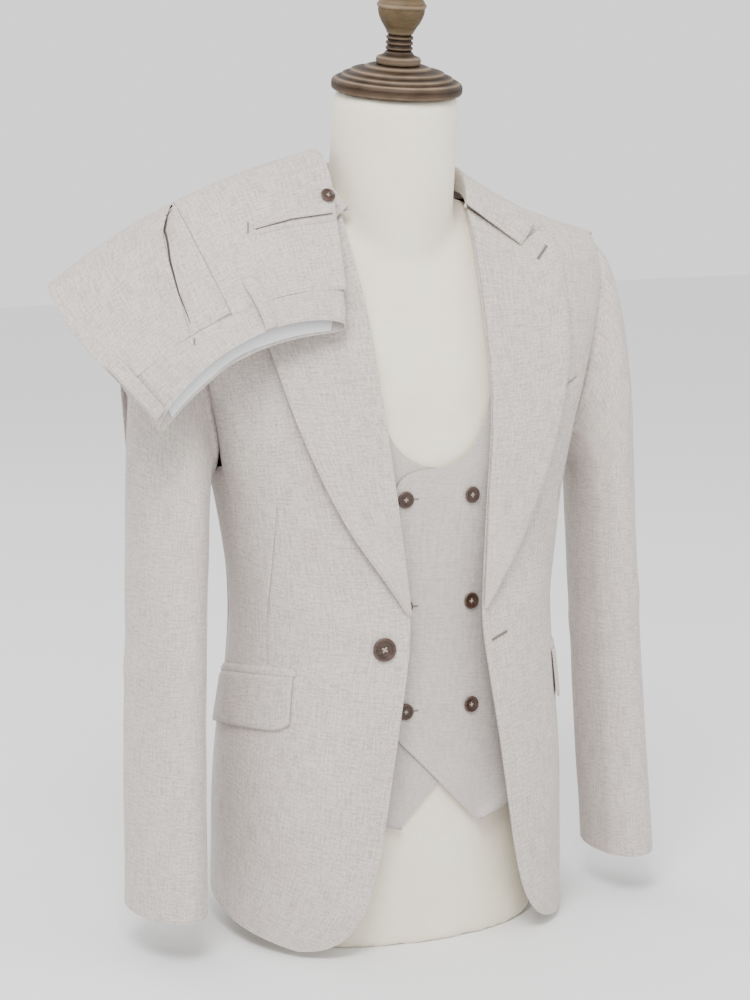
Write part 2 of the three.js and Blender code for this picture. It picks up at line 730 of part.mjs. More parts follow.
const collarSurface = (u, v) => {
  const { fold, edge, stand } = collarRow(u);
  const out = edge.clone().sub(fold).setZ(0).normalize();
  const standFoot = fold.clone().setZ(fold.z - stand);
  const crest = fold.clone().addScaledVector(out, collarFoldWidth / 2);
  crest.z += collarFoldWidth / 2;
  const shoulder = fold.clone().addScaledVector(out, collarFoldWidth);
  const acrossPoints = [standFoot, fold, crest, shoulder, shoulder.clone().lerp(edge, 0.5), edge];
  const place = v * (acrossPoints.length - 1);
  return new THREE.Vector3(
    smoothAt(acrossPoints.map((point) => point.x), place),
    smoothAt(acrossPoints.map((point) => point.y), place),
    smoothAt(acrossPoints.map((point) => point.z), place),
  );
};
const collarGrid = {
  columns: 18,
  rows: 7,
  wall: collarCloth,
  inside: (point) => new THREE.Vector3(point.x * 0.9, point.y * 0.9, 600),
};
addPiece(suit, "jacket_collar", clothWall(collarSurface, collarGrid), "suiting");

// ---------------------------------------------------------------- sleeves
const sleeveRows = [
  { z: 46, x: 249, y: -20, thick: 34, deep: 59 },
  { z: 150, x: 245, y: -12, thick: 33, deep: 59 },
  { z: 300, x: 239, y: -2, thick: 32, deep: 61 },
  { z: 440, x: 233, y: 3, thick: 31, deep: 65 },
];
const sleeveToeIn = THREE.MathUtils.degToRad(7);
const sleeveClearance = 2.6;
const sleeveheadRoll = 24;
const frontArmSeam = 0.13;
const elbowSeam = 0.8;

// The armhole ring, from the underarm up the front to the shoulder and down the back.
const armholeRing = new THREE.CatmullRomCurve3([
  jacketSide(0.5, 1),
  jacketSide(0.05, 1),
  jacketFront(1, 0.72),
  jacketFront(1, 0.78),
  jacketFront(1, 0.84),
  jacketFront(1, 0.9),
  jacketFront(1, 0.96),
  jacketFront(1, 1),
  jacketBack(1, 0.92),
  jacketBack(1, 0.82),
  jacketBack(1, 0.72),
  jacketBack(1, 0.62),
  jacketBack(1, 0.52),
  jacketSide(0.95, 1),
], true);

function sleeveRing(turn, z) {
  const place = placeOf(sleeveRows, "z", z);
  const angle = (turn - 0.5) * 2 * Math.PI;
  const thick = columnAt(sleeveRows, "thick", place) * Math.cos(angle);
  const deep = columnAt(sleeveRows, "deep", place) * Math.sin(angle);
  return new THREE.Vector3(
    columnAt(sleeveRows, "x", place) + thick * Math.cos(sleeveToeIn) + deep * Math.sin(sleeveToeIn),
    columnAt(sleeveRows, "y", place) + deep * Math.cos(sleeveToeIn) - thick * Math.sin(sleeveToeIn),
    z,
  );
}

// A sleeve tube, 0 to 1 from the cuff to the armhole ring. Above the armpit each line of it
// bends in to the ring over the sleevehead.
const tubeShare = 0.6;
function sleeveTube(turn, along) {
  const top = sleeveRows[sleeveRows.length - 1].z;
  if (along <= tubeShare) {
    return sleeveRing(turn, lerp(sleeveRows[0].z, top, along / tubeShare));
  }
  const ring = armholeRing.getPointAt(((turn % 1) + 1) % 1);
  ring.x += sleeveClearance;
  const foot = sleeveRing(turn, top);
  const crownShare = Math.sin(turn * Math.PI) ** 2;
  const reach = ring.distanceTo(foot);
  const lift = foot.clone().add(new THREE.Vector3(4 * crownShare - 2, 0, reach * 0.45));
  const roll = ring.clone().add(new THREE.Vector3(3 + sleeveheadRoll * crownShare, 0, 10 * crownShare - 2));
  const curve = new THREE.CubicBezierCurve3(foot, lift, roll, ring);
  return curve.getPoint((along - tubeShare) / (1 - tubeShare));
}

const sleevePanels = [
  { piece: "top_sleeve", from: frontArmSeam, to: elbowSeam, columns: 9 },
  { piece: "under_sleeve", from: elbowSeam - 1, to: frontArmSeam, columns: 4 },
];
const sleeveAxis = (point) => {
  const level = Math.min(point.z, 600);
  return new THREE.Vector3(Math.sign(point.x) * (level > 440 ? 222 : 240), 0, level);
};
for (const { side, place } of sides) {
  for (const { piece, from, to, columns } of sleevePanels) {
    const surface = place((u, v) => sleeveTube(lerp(from, to, u), v));
    const grid = { columns, rows: 13, wall: jacketCloth, inside: sleeveAxis };
    addPiece(suit, `jacket_${piece}_${side}`, clothWall(surface, grid), "suiting");
  }
}

// ---------------------------------------------------------------- trousers
// The trousers lie over the wearer's right shoulder, waist to the front. Each row is a line
// across the folded cloth: its end at the front crease, its middle and its end by the neck.
// Rows: far waist edge, near waist edge, waistband seam, hip, upper hip, shoulder, upper
// back, mid back, lower back and knee fold.
const trouserRows = [
  { ax: -274, ay: -96, az: 517, bx: -200, by: -114, bz: 588, cx: -94, cy: -105, cz: 604 },
  { ax: -281, ay: -100, az: 527, bx: -199, by: -118, bz: 600, cx: -92, cy: -105, cz: 612 },
  { ax: -308, ay: -88, az: 560, bx: -207, by: -105, bz: 624, cx: -89, cy: -92, cz: 641 },
  { ax: -330, ay: -52, az: 592, bx: -224, by: -66, bz: 667, cx: -83, cy: -55, cz: 704 },
  { ax: -343, ay: -26, az: 618, bx: -229, by: -34, bz: 701, cx: -77, cy: -28, cz: 742 },
  { ax: -347, ay: 6, az: 644, bx: -226, by: 6, bz: 716, cx: -77, cy: 6, cz: 765 },
  { ax: -300, ay: 62, az: 648, bx: -190, by: 72, bz: 706, cx: -70, cy: 74, cz: 745 },
  { ax: -236, ay: 132, az: 570, bx: -134, by: 146, bz: 606, cx: -32, cy: 150, cz: 630 },
  { ax: -224, ay: 146, az: 480, bx: -116, by: 163, bz: 500, cx: -8, cy: 166, cz: 506 },
  { ax: -218, ay: 148, az: 420, bx: -110, by: 165, bz: 426, cx: -2, cy: 168, cz: 428 },
];
const nearEdge = 1;
const bandSeam = 2;
const shoulderRow = 5;
const kneeFold = trouserRows.length - 1;

// Point on the outer face: u runs from the front crease to the back crease, and row from
// the waist over the shoulder and down the back.
function trouserPoint(u, row) {
  const line = {};
  for (const column of ["ax", "ay", "az", "bx", "by", "bz", "cx", "cy", "cz"]) {
    line[column] = columnAt(trouserRows, column, row);
  }
  const a = (1 - u) * (1 - 2 * u);
  const b = 4 * u * (1 - u);
  const c = u * (2 * u - 1);
  return new THREE.Vector3(
    a * line.ax + b * line.bx + c * line.cx,
    a * line.ay + b * line.by + c * line.cy,
    a * line.az + b * line.bz + c * line.cz,
  );
}

function trouserNormal(u, row) {
  const uLow = Math.max(u - 0.01, 0);
  const uHigh = Math.min(u + 0.01, 1);
  const rowLow = Math.max(row - 0.04, 0);
  const rowHigh = Math.min(row + 0.04, kneeFold);
  const along = trouserPoint(uHigh, row).sub(trouserPoint(uLow, row));
  const up = trouserPoint(u, rowHigh).sub(trouserPoint(u, rowLow));
  return along.cross(up).normalize();
}

function trouserLayer(u, row, moveOut) {
  return trouserPoint(u, row).addScaledVector(trouserNormal(u, row), moveOut);
}

const trouserInside = (point) => new THREE.Vector3(point.x, point.y * 0.3, point.z - 60);

// Side seam and slant pocket mouth, as a share of the width at each row.
const sideSeamRows = [
  { row: bandSeam, seam: 0.49, mouth: 0.3 },
  { row: 3, seam: 0.518, mouth: 0.388 },
  { row: 4, seam: 0.51, mouth: 0.424 },
  { row: shoulderRow, seam: 0.512, mouth: 0.506 },
  { row: kneeFold, seam: 0.5, mouth: 0.5 },
];
const seamShare = (column, row) => columnAt(sideSeamRows, column, placeOf(sideSeamRows, "row", row));

function addTrouserPiece(name, surface, { columns, rows, wall, finish }) {
  const grid = { columns, rows, wall, inside: trouserInside };
  return addPiece(suit, name, clothWall(surface, grid), finish);
}

const mouthOverlap = 0.06;
const facingSink = 1.4;
const frontLeg = (u, v) => {
  const row = lerp(bandSeam, kneeFold, v);
  return trouserLayer(u * (seamShare("mouth", row) - 0.003), row, 0);
};
const pocketFacing = (u, v) => {
  const row = lerp(bandSeam, shoulderRow - 0.3, v);
  const from = seamShare("mouth", row) - mouthOverlap;
  return trouserLayer(lerp(from, seamShare("seam", row), u), row, -trouserCloth - facingSink);
};
const backLeg = (u, v) => {
  const row = lerp(bandSeam, kneeFold, v);
  return trouserLayer(lerp(seamShare("seam", row), 1, u), row, 0);
};
const legGrid = { columns: 5, rows: 14, wall: trouserCloth, finish: "suiting" };
addTrouserPiece("trousers_front_leg", frontLeg, legGrid);
const backLegPiece = addTrouserPiece("trousers_back_leg", backLeg, legGrid);
const facingGrid = { columns: 3, rows: 6, wall: 1, finish: "suiting" };
addTrouserPiece("trousers_pocket_facing", pocketFacing, facingGrid);

// The folded legs inside the outer layer, as one rounded slab of the layers together. It
// starts above the waistband, so the waist stays open.
const slabStart = 2.7;
const slabThick = 20.6;
const slabFill = 9.2;
const slabInset = 0.012;
const slabSink = 2 * trouserCloth + 2 * facingSink - 0.9;
const foldedLayers = (u, v) => {
  const row = lerp(slabStart, kneeFold, v);
  return trouserLayer(lerp(slabInset, 1 - slabInset, u), row, -slabSink);
};
const slabEdge = 0.4;
const fillMiddle = 0.48;
const fillSpread = 0.22;
const slabWall = (u) => {
  const rounded = Math.sqrt(1 - Math.abs(2 * u - 1) ** 4);
  const fill = slabFill * Math.exp(-(((u - fillMiddle) / fillSpread) ** 2));
  return slabThick * (slabEdge + (1 - slabEdge) * rounded) + fill;
};
const slabGrid = { columns: 7, rows: 12, wall: slabWall, finish: "suiting" };
addTrouserPiece("trousers_folded_legs", foldedLayers, slabGrid);

// The waistband is one loop: the near half shows, and the far half hangs a little lower and
// shows its lined inside, but for its middle, which is pinched up to the near half.
const bandDepth = 16;
const bandTurn = 0.002;
const bandSquare = 0.8;
const bandEnds = { narrow: 0.8, depth: 0.35, drop: 0.5 };
const pinchLift = 0.5;
const pinchMiddle = 0.47;
const pinchSpread = 0.09;
function bandLoop(turn, v, moveIn) {
  const angle = 2 * Math.PI * lerp(bandTurn, 1 - bandTurn, turn);
  const across = Math.cos(angle);
  const deep = Math.sin(angle);
  const u = 0.5 - 0.5 * Math.sign(across) * Math.abs(across) ** bandEnds.narrow;
  const half = bandDepth / 2 - moveIn;
  const depth = -bandDepth / 2 + half * Math.sign(deep) * Math.abs(deep) ** bandEnds.depth;
  const pinch = pinchLift * Math.exp(-(((u - pinchMiddle) / pinchSpread) ** 2));
  const nearShare = (1 + Math.sign(deep) * Math.abs(deep) ** bandEnds.drop) / 2;
  const lower = lerp(pinch, nearEdge, nearShare);
  const width = lerp(0.004, 0.996, u);
  const row = lerp(lower, bandSeam - 0.02, v);
  const square = trouserNormal(0.5, bandSeam);
  const outwards = trouserNormal(width, bandSeam).lerp(square, bandSquare).normalize();
  return trouserPoint(width, row).addScaledVector(outwards, depth);
}
const bandCentre = (point) => {
  const share = (point.x + 285) / 190;
  return new THREE.Vector3(point.x, -96, lerp(545, 615, Math.min(Math.max(share, 0), 1)));
};
const waistband = (u, v) => bandLoop(u, v, 0);
const bandGrid = { columns: 26, rows: 2, wall: trouserCloth, inside: bandCentre };
addPiece(suit, "trousers_waistband", clothWall(waistband, bandGrid), "suiting");
const liningSpan = { from: 0.59, to: 0.9, low: 0.06, high: 0.94 };
const liningDepth = 2.75 * trouserCloth;
const waistLining = (u, v) => {
  const turn = lerp(liningSpan.from, liningSpan.to, u);
  return bandLoop(turn, lerp(liningSpan.low, liningSpan.high, v), liningDepth);
};
const liningGrid = { columns: 14, rows: 2, wall: 0.8, inside: bandCentre };
addPiece(suit, "trousers_waist_lining", clothWall(waistLining, liningGrid), "lining");

// Belt loops stand off the band, over its seam.
const beltLoops = [
  { name: "outer", at: 0.034, width: 11 },
  { name: "middle", at: 0.62, width: 11.5 },
];
const loopProud = 2.2;
const bandWidth = 205;
for (const { name, at, width } of beltLoops) {
  const loop = (u, v) => {
    const row = lerp(nearEdge + 0.02, bandSeam + 0.45, v);
    const share = at + (u - 0.5) * width / bandWidth;
    const proud = loopProud * Math.sin(Math.PI * v) ** 0.6;
    return trouserLayer(share, row, trouserCloth + seamGap + proud);
  };
  const loopGrid = { columns: 1, rows: 6, wall: trouserCloth, finish: "suiting" };
  addTrouserPiece(`trousers_belt_loop_${name}`, loop, loopGrid);
}

// Back pocket: a double-jetted mouth across the seat, closed by a button at its middle.
const backPocketJets = [
  { name: "upper", lift: 0.048 },
  { name: "lower", lift: -0.044 },
];
const jetProud = 1.6;
const jetHeight = 0.07;
const pocketSpan = { from: 0.72, to: 0.985 };
const pocketRow = { from: 3.14, to: 3.02 };
const pocketLine = (u) => lerp(pocketRow.from, pocketRow.to, u);
for (const { name, lift } of backPocketJets) {
  const jet = (u, v) => {
    const share = lerp(pocketSpan.from, pocketSpan.to, u);
    const row = pocketLine(u) + lift + jetHeight * (v - 0.5);
    return trouserLayer(share, row, jetProud);
  };
  const backJetGrid = { columns: 6, rows: 1, wall: 1.1, finish: "suiting" };
  addTrouserPiece(`trousers_back_pocket_jet_${name}`, jet, backJetGrid);
}
const pocketButton = { radius: 7, thick: 2.4, finish: "horn" };
const pocketButtonPlace = { share: 0.978, row: 3.42 };
const pocketButtonSpot = (u, v) => {
  const share = pocketButtonPlace.share + (u - 0.5) * 0.02;
  return trouserLayer(share, pocketButtonPlace.row + (v - 0.5) * 0.04, 0);
};
addButton("trousers_pocket_button", backLegPiece, pocketButtonSpot, pocketButton);

// ---------------------------------------------------------------- jacket pockets
// Hip flaps hang from a jetted mouth and run from the front round towards the side, where
// they drop a little. The jet under the flap is hidden and left out.
const flapFrontAngle = 55.5;
const flapRearAngle = 108;
const flapTopHeight = 273;
const rearDrop = 21;
const flapFall = 52;
const flapCorner = 7;
const flapProud = 2.6;
const jetFall = 6;
const jetProudOfFront = 1.9;
const mouthHeight = (u) => flapTopHeight - rearDrop * u ** 1.7;
const hipFlap = (u, v) => {
  const round = Math.max(1 - u * 18, 0);
  const low = mouthHeight(u) - flapFall + 2 * u + flapCorner * (1 - Math.sqrt(1 - round ** 2));
  const angle = lerp(flapFrontAngle, flapRearAngle, u);
  const rise = jacketSkin.riseAt(160, lerp(low, mouthHeight(u), v));
  return jacketSkin.movedOut(angle, rise, flapProud + 0.9 * (1 - v));
};
const hipJet = (u, v) => {
  const angle = lerp(flapFrontAngle - 0.4, flapRearAngle + 0.4, u);
  const height = mouthHeight(u) + 0.6 + jetFall * v;
  return jacketSkin.movedOut(angle, jacketSkin.riseAt(160, height), jetProudOfFront);
};
for (const { side, place } of sides) {
  addPanel(`jacket_flap_${side}`, place(hipFlap), 10, 2, jacketCloth, "suiting");
  addPanel(`jacket_pocket_jet_${side}`, place(hipJet), 8, 1, 1, "suiting");
}

// Breast welt on the left front, beside the lapel and rising to the armhole.
const breastWelt = (u, v) => {
  const x = lerp(146, 173, u);
  const z = lerp(509, 531, v) + 8 * u;
  const rise = jacketSkin.riseAt(x, z);
  return jacketSkin.movedOut(jacketSkin.angleAt(x, rise), rise, 2.2);
};
addPanel("jacket_breast_welt", breastWelt, 3, 1, jacketCloth, "suiting");

// ---------------------------------------------------------------- jacket buttons
const jacketButton = { radius: 11.2, thick: 3.4, finish: "horn" };
const buttonX = -64;
const buttonHeight = 302;
const frontButtonSpot = (u, v) => {
  const rise = jacketSkin.riseAt(buttonX, buttonHeight) + (v - 0.5) * 0.02;
  return jacketSkin.movedOut(jacketSkin.angleAt(buttonX, rise) + u - 0.5, rise, 0);
};
addButton("jacket_front_button", suit.getObjectByName("jacket_front_right"), frontButtonSpot, jacketButton);

const cuffButton = { radius: 7.5, thick: 2.6, finish: "horn" };
const cuffButtonTurn = 0.72;
const cuffButtonHeight = 93;
for (const { side, place } of sides) {
  const sleeveTop = sleeveRows[sleeveRows.length - 1].z;
  const along = (cuffButtonHeight - sleeveRows[0].z) / (sleeveTop - sleeveRows[0].z) * tubeShare;
  const spot = place((u, v) => sleeveTube(cuffButtonTurn + (u - 0.5) * 0.02, along + (v - 0.5) * 0.02));
  const topSleeve = suit.getObjectByName(`jacket_top_sleeve_${side}`);
  addButton(`jacket_cuff_button_${side}`, topSleeve, spot, cuffButton);
}

export default suit;
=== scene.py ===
import json
import math
import random

import bmesh
import bpy
import numpy as np
from mathutils import Matrix, Vector, noise
from mathutils.bvhtree import BVHTree

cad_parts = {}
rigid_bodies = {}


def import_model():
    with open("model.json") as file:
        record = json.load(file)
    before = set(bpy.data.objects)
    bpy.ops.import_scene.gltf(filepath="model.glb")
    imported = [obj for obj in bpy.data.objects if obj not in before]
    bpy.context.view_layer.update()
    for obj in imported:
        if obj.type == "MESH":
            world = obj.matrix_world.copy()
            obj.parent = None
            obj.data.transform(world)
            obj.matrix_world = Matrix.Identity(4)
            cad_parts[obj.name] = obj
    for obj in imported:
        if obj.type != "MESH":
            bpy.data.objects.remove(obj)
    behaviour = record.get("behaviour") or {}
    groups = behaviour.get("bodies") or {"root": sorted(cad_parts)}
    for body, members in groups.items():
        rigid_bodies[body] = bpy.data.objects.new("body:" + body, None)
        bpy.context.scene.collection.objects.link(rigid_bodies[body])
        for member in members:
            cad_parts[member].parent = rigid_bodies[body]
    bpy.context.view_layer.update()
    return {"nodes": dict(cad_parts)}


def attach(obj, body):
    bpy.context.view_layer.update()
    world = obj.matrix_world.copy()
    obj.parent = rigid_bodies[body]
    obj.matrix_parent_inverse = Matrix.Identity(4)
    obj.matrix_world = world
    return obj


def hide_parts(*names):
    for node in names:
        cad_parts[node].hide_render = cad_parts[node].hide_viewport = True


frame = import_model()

# ---------------------------------------------------------------- view and light
# The suit stands on a pale counter in a white studio. The camera is a long lens a little
# above the waist and to the wearer's right, tipped down. A wide soft light hangs above the
# camera, a second fills from the wearer's left and the white room lights the rest.
VIEW_PLACE = (-1.0753, -2.2681, 0.863)
VIEW_TURN = (math.radians(80), 0, math.radians(-25))

view_lens = bpy.data.cameras.new("view")
view_lens.lens = 93.6
view_lens.sensor_width = 36
view_camera = bpy.data.objects.new("view", view_lens)
view_camera.location = VIEW_PLACE
view_camera.rotation_euler = VIEW_TURN
bpy.context.scene.collection.objects.link(view_camera)
bpy.context.scene.camera = view_camera


def add_softbox(name, place, aim, size, power):
    """A square soft light on a stand, turned to the suit."""
    softbox = bpy.data.lights.new(name, "AREA")
    softbox.shape = "SQUARE"
    softbox.size = size
    softbox.energy = power
    stand = bpy.data.objects.new(name, softbox)
    stand.location = place
    stand.rotation_euler = (Vector(aim) - Vector(place)).to_track_quat("-Z", "Y").to_euler()
    bpy.context.scene.collection.objects.link(stand)


add_softbox("key_light", (-1.1, -1.7, 2.6), (0, 0, 0.45), 1.1, 92)
add_softbox("fill_light", (1.9, -1.2, 1.2), (0, 0, 0.45), 1.2, 10)
add_softbox("rim_light", (-0.6, 2.2, 2.0), (0, 0, 0.5), 1.2, 14)

room = bpy.data.worlds.new("room")
room.use_nodes = True
room.node_tree.nodes["Background"].inputs["Color"].default_value = (1.0, 1.0, 1.0, 1)
room.node_tree.nodes["Background"].inputs["Strength"].default_value = 1.35
bpy.context.scene.world = room


def plain_material(name, **sockets):
    """A Principled material with its even values set on the shader's own sockets."""
    material = bpy.data.materials.new(name)
    material.use_nodes = True
    shader = material.node_tree.nodes["Principled BSDF"]
    for socket, value in sockets.items():
        shader.inputs[socket.replace("_", " ")].default_value = value
    return material


counter_paint = plain_material("counter_paint", Roughness=0.75, Base_Color=(0.86, 0.86, 0.86, 1))
counter_shape = bmesh.new()
bmesh.ops.create_grid(counter_shape, x_segments=1, y_segments=1, size=6)
counter_mesh = bpy.data.meshes.new("counter")
counter_shape.to_mesh(counter_mesh)
counter_shape.free()
counter_mesh.materials.append(counter_paint)
counter = bpy.data.objects.new("counter", counter_mesh)
bpy.context.scene.collection.objects.link(counter)

# ---------------------------------------------------------------- dress form
# A limbless padded torso with a neck, covered in plain cream linen pulled tight and cut
# off flat at the counter. The neck grows out of the shoulders with a soft curve.
WELD = 1e-5
LINEN = (0.86, 0.80, 0.655, 1)
LINEN_FLECK = (0.68, 0.60, 0.44, 1)
PADDING_MESH = 0.005
FOOT_BAND = 0.0015


def solid_of(node):
    """A merged copy of a solid of the frame, in a mesh of its own."""
    solid = bmesh.new()
    solid.from_mesh(frame["nodes"][node].data)
    bmesh.ops.remove_doubles(solid, verts=solid.verts, dist=WELD)
    solid.normal_update()
    return solid


def piece_of(name, shape, *materials):
    """Makes a finished shape a piece of the suit or the form, smooth and in its finishes."""
    mesh = bpy.data.meshes.new(name)
    shape.to_mesh(mesh)
    shape.free()
    for material in materials:
        mesh.materials.append(material)
    mesh.polygons.foreach_set("use_smooth", [True] * len(mesh.polygons))
    piece = bpy.data.objects.new(name, mesh)
    bpy.context.scene.collection.objects.link(piece)
    return piece


def settle(piece):
    """Makes the piece's modifiers part of its mesh."""
    graph = bpy.context.evaluated_depsgraph_get()
    finished = bpy.data.meshes.new_from_object(piece.evaluated_get(graph))
    piece.modifiers.clear()
    piece.data = finished


def feed(tree, slot, value):
    """Links a value that comes from another node, or sets a plain one."""
    if isinstance(value, bpy.types.NodeSocket):
        tree.links.new(value, slot)
    else:
        slot.default_value = value


def add_node(tree, kind, **sockets):
    """A node with its inputs fed, by name or, as _0, _1 and so on, by place."""
    node = tree.nodes.new(kind)
    for socket, value in sockets.items():
        named = socket.replace("_", " ")
        feed(tree, node.inputs[int(socket[1:]) if socket[1:].isdigit() else named], value)
    return node


def maths(tree, operation, first, second):
    """The result of one sum on two values."""
    node = tree.nodes.new("ShaderNodeMath")
    node.operation = operation
    feed(tree, node.inputs[0], first)
    feed(tree, node.inputs[1], second)
    return node.outputs[0]


def mix_colour(tree, share, first, second):
    """A colour that goes from the first to the second as the share grows."""
    node = tree.nodes.new("ShaderNodeMix")
    node.data_type = "RGBA"
    for slot, value in zip((node.inputs[0], node.inputs[6], node.inputs[7]), (share, first, second)):
        feed(tree, slot, value)
    return node.outputs[2]


def finish_with(material, colour, roughness, normal):
    """Feeds a material's shader with what changes over the surface."""
    shader = material.node_tree.nodes["Principled BSDF"]
    for socket, value in (("Base Color", colour), ("Roughness", roughness), ("Normal", normal)):
        material.node_tree.links.new(value, shader.inputs[socket])


def woven_group():
    """Cloth seen close: slubs along both sets of threads, flecks and a broad shift of tone."""
    group = bpy.data.node_groups.new("woven_cloth", "ShaderNodeTree")
    sides = (
        ("Grain", "INPUT", "NodeSocketVector", None),
        ("Ground", "INPUT", "NodeSocketColor", None),
        ("Fleck", "INPUT", "NodeSocketColor", None),
        ("Slub", "INPUT", "NodeSocketFloat", 0.35),
        ("Thread Width", "INPUT", "NodeSocketFloat", 0.0007),
        ("Relief", "INPUT", "NodeSocketFloat", 0.3),
        ("Color", "OUTPUT", "NodeSocketColor", None),
        ("Roughness", "OUTPUT", "NodeSocketFloat", None),
        ("Normal", "OUTPUT", "NodeSocketVector", None),
    )
    for name, side, kind, value in sides:
        socket = group.interface.new_socket(name, in_out=side, socket_type=kind)
        if value is not None:
            socket.default_value = value
    given = group.nodes.new("NodeGroupInput").outputs
    pitch = maths(group, "DIVIDE", 1.0, given["Thread Width"])
    grain = add_node(group, "ShaderNodeVectorMath", _0=given["Grain"])
    grain.operation = "SCALE"
    group.links.new(pitch, grain.inputs["Scale"])
    streaks = []
    for stretch in ((1.0, 0.07, 0.07), (0.09, 1.0, 0.09)):
        along = add_node(group, "ShaderNodeVectorMath", _0=grain.outputs[0], _1=stretch)
        along.operation = "MULTIPLY"
        streak = add_node(group, "ShaderNodeTexNoise", Vector=along.outputs[0], Scale=0.8, Detail=3.0)
        streaks.append(streak.outputs[0])
    both = maths(group, "MULTIPLY", maths(group, "ADD", streaks[0], streaks[1]), 0.5)
    melange = add_node(group, "ShaderNodeTexNoise", Vector=grain.outputs[0], Scale=0.55, Detail=2.0)
    mixed = maths(group, "ADD", both, maths(group, "MULTIPLY", melange.outputs[0], 0.6))
    contrast = add_node(group, "ShaderNodeMapRange", Value=mixed, _1=0.68, _2=0.96)
    share = maths(group, "MULTIPLY", contrast.outputs[0], given["Slub"])
    speckled = mix_colour(group, share, given["Ground"], given["Fleck"])
    broad = add_node(group, "ShaderNodeTexNoise", Vector=given["Grain"], Scale=16.0, Detail=2.0)
    tone = add_node(group, "ShaderNodeMapRange", Value=broad.outputs[0], _1=0.3, _2=0.7, _3=-0.02, _4=0.02)
    shifted = add_node(group, "ShaderNodeHueSaturation", Color=speckled)
    group.links.new(maths(group, "ADD", tone.outputs[0], 0.5), shifted.inputs["Hue"])
    group.links.new(maths(group, "ADD", tone.outputs[0], 1.0), shifted.inputs["Value"])
    rough = add_node(group, "ShaderNodeMapRange", Value=mixed, _1=0.5, _2=1.1, _3=0.78, _4=0.98)
    relief = add_node(group, "ShaderNodeBump", Height=mixed, Strength=given["Relief"], Distance=0.0006)
    out = group.nodes.new("NodeGroupOutput").inputs
    group.links.new(shifted.outputs[0], out["Color"])
    group.links.new(rough.outputs[0], out["Roughness"])
    group.links.new(relief.outputs[0], out["Normal"])
    return group


WOVEN = woven_group()


def woven_material(name, ground, fleck, grain="UV", thread=0.0013, slub=0.85, relief=0.4, sheen=0.1):
    """A cloth finish. Its threads run with the piece's own grain map, or with the object."""
    material = plain_material(name, Sheen_Weight=sheen, Sheen_Roughness=0.4, Specular_IOR_Level=0.2)
    tree = material.node_tree
    place = tree.nodes.new("ShaderNodeTexCoord")
    weave = tree.nodes.new("ShaderNodeGroup")
    weave.node_tree = WOVEN
    tree.links.new(place.outputs[grain], weave.inputs["Grain"])
    for socket, value in (("Ground", ground), ("Fleck", fleck), ("Slub", slub), ("Thread Width", thread),
                          ("Relief", relief)):
        weave.inputs[socket].default_value = value
    finish_with(material, *weave.outputs)
    return material


linen = woven_material("form_linen", LINEN, LINEN_FLECK, grain="Object", thread=0.0009, slub=0.16)

form = piece_of("padded_form", solid_of("form_body"), linen)
form_skin = form.modifiers.new("skin", "REMESH")
form_skin.mode = "VOXEL"
form_skin.voxel_size = PADDING_MESH
form_skin.use_smooth_shade = True
form_ease = form.modifiers.new("ease", "SMOOTH")
form_ease.factor = 0.5
form_ease.iterations = 14
settle(form)
for corner in form.data.vertices:
    if corner.co.z < FOOT_BAND:
        corner.co.z = 0
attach(form, "root")
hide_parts("form_body")

# ---------------------------------------------------------------- neck cap and finial
# Four turned pieces of dark stained wood stand on the neck's leaning axis: a stepped cap,
# a collar, a reeded neck and an acorn cup. Their proud edges are worn pale.
NECK_FOOT = Vector((0, 0.006, 0.7))
NECK_LEAN = math.radians(8)
WOOD = (0.010, 0.0055, 0.0035, 1)
WOOD_WORN = (0.075, 0.043, 0.024, 1)
OLIVE_WOOD = (0.058, 0.038, 0.018, 1)
OLIVE_WOOD_WORN = (0.15, 0.105, 0.055, 1)
SCUFFED_EDGE = (0.30, 0.22, 0.15, 1)
LATHE_STEPS = 112


def turned_piece(name, profile, material):
    """Spins a profile of (height, radius, wear) in millimetres about the neck's own axis."""
    shape = bmesh.new()
    wear = shape.verts.layers.float.new("wear")
    last = None
    for height, radius, worn in profile:
        vert = shape.verts.new((radius / 1000, 0, height / 1000))
        vert[wear] = worn
        if last is not None:
            shape.edges.new((last, vert))
        last = vert
    bmesh.ops.spin(shape, geom=shape.verts[:] + shape.edges[:], cent=(0, 0, 0), axis=(0, 0, 1),
                   angle=math.tau, steps=LATHE_STEPS, use_merge=True)
    bmesh.ops.remove_doubles(shape, verts=shape.verts, dist=WELD)
    bmesh.ops.recalc_face_normals(shape, faces=shape.faces)
    lean = Matrix.Translation(NECK_FOOT) @ Matrix.Rotation(NECK_LEAN, 4, "X")
    bmesh.ops.transform(shape, matrix=lean, verts=shape.verts)
    return piece_of(name, shape, material)


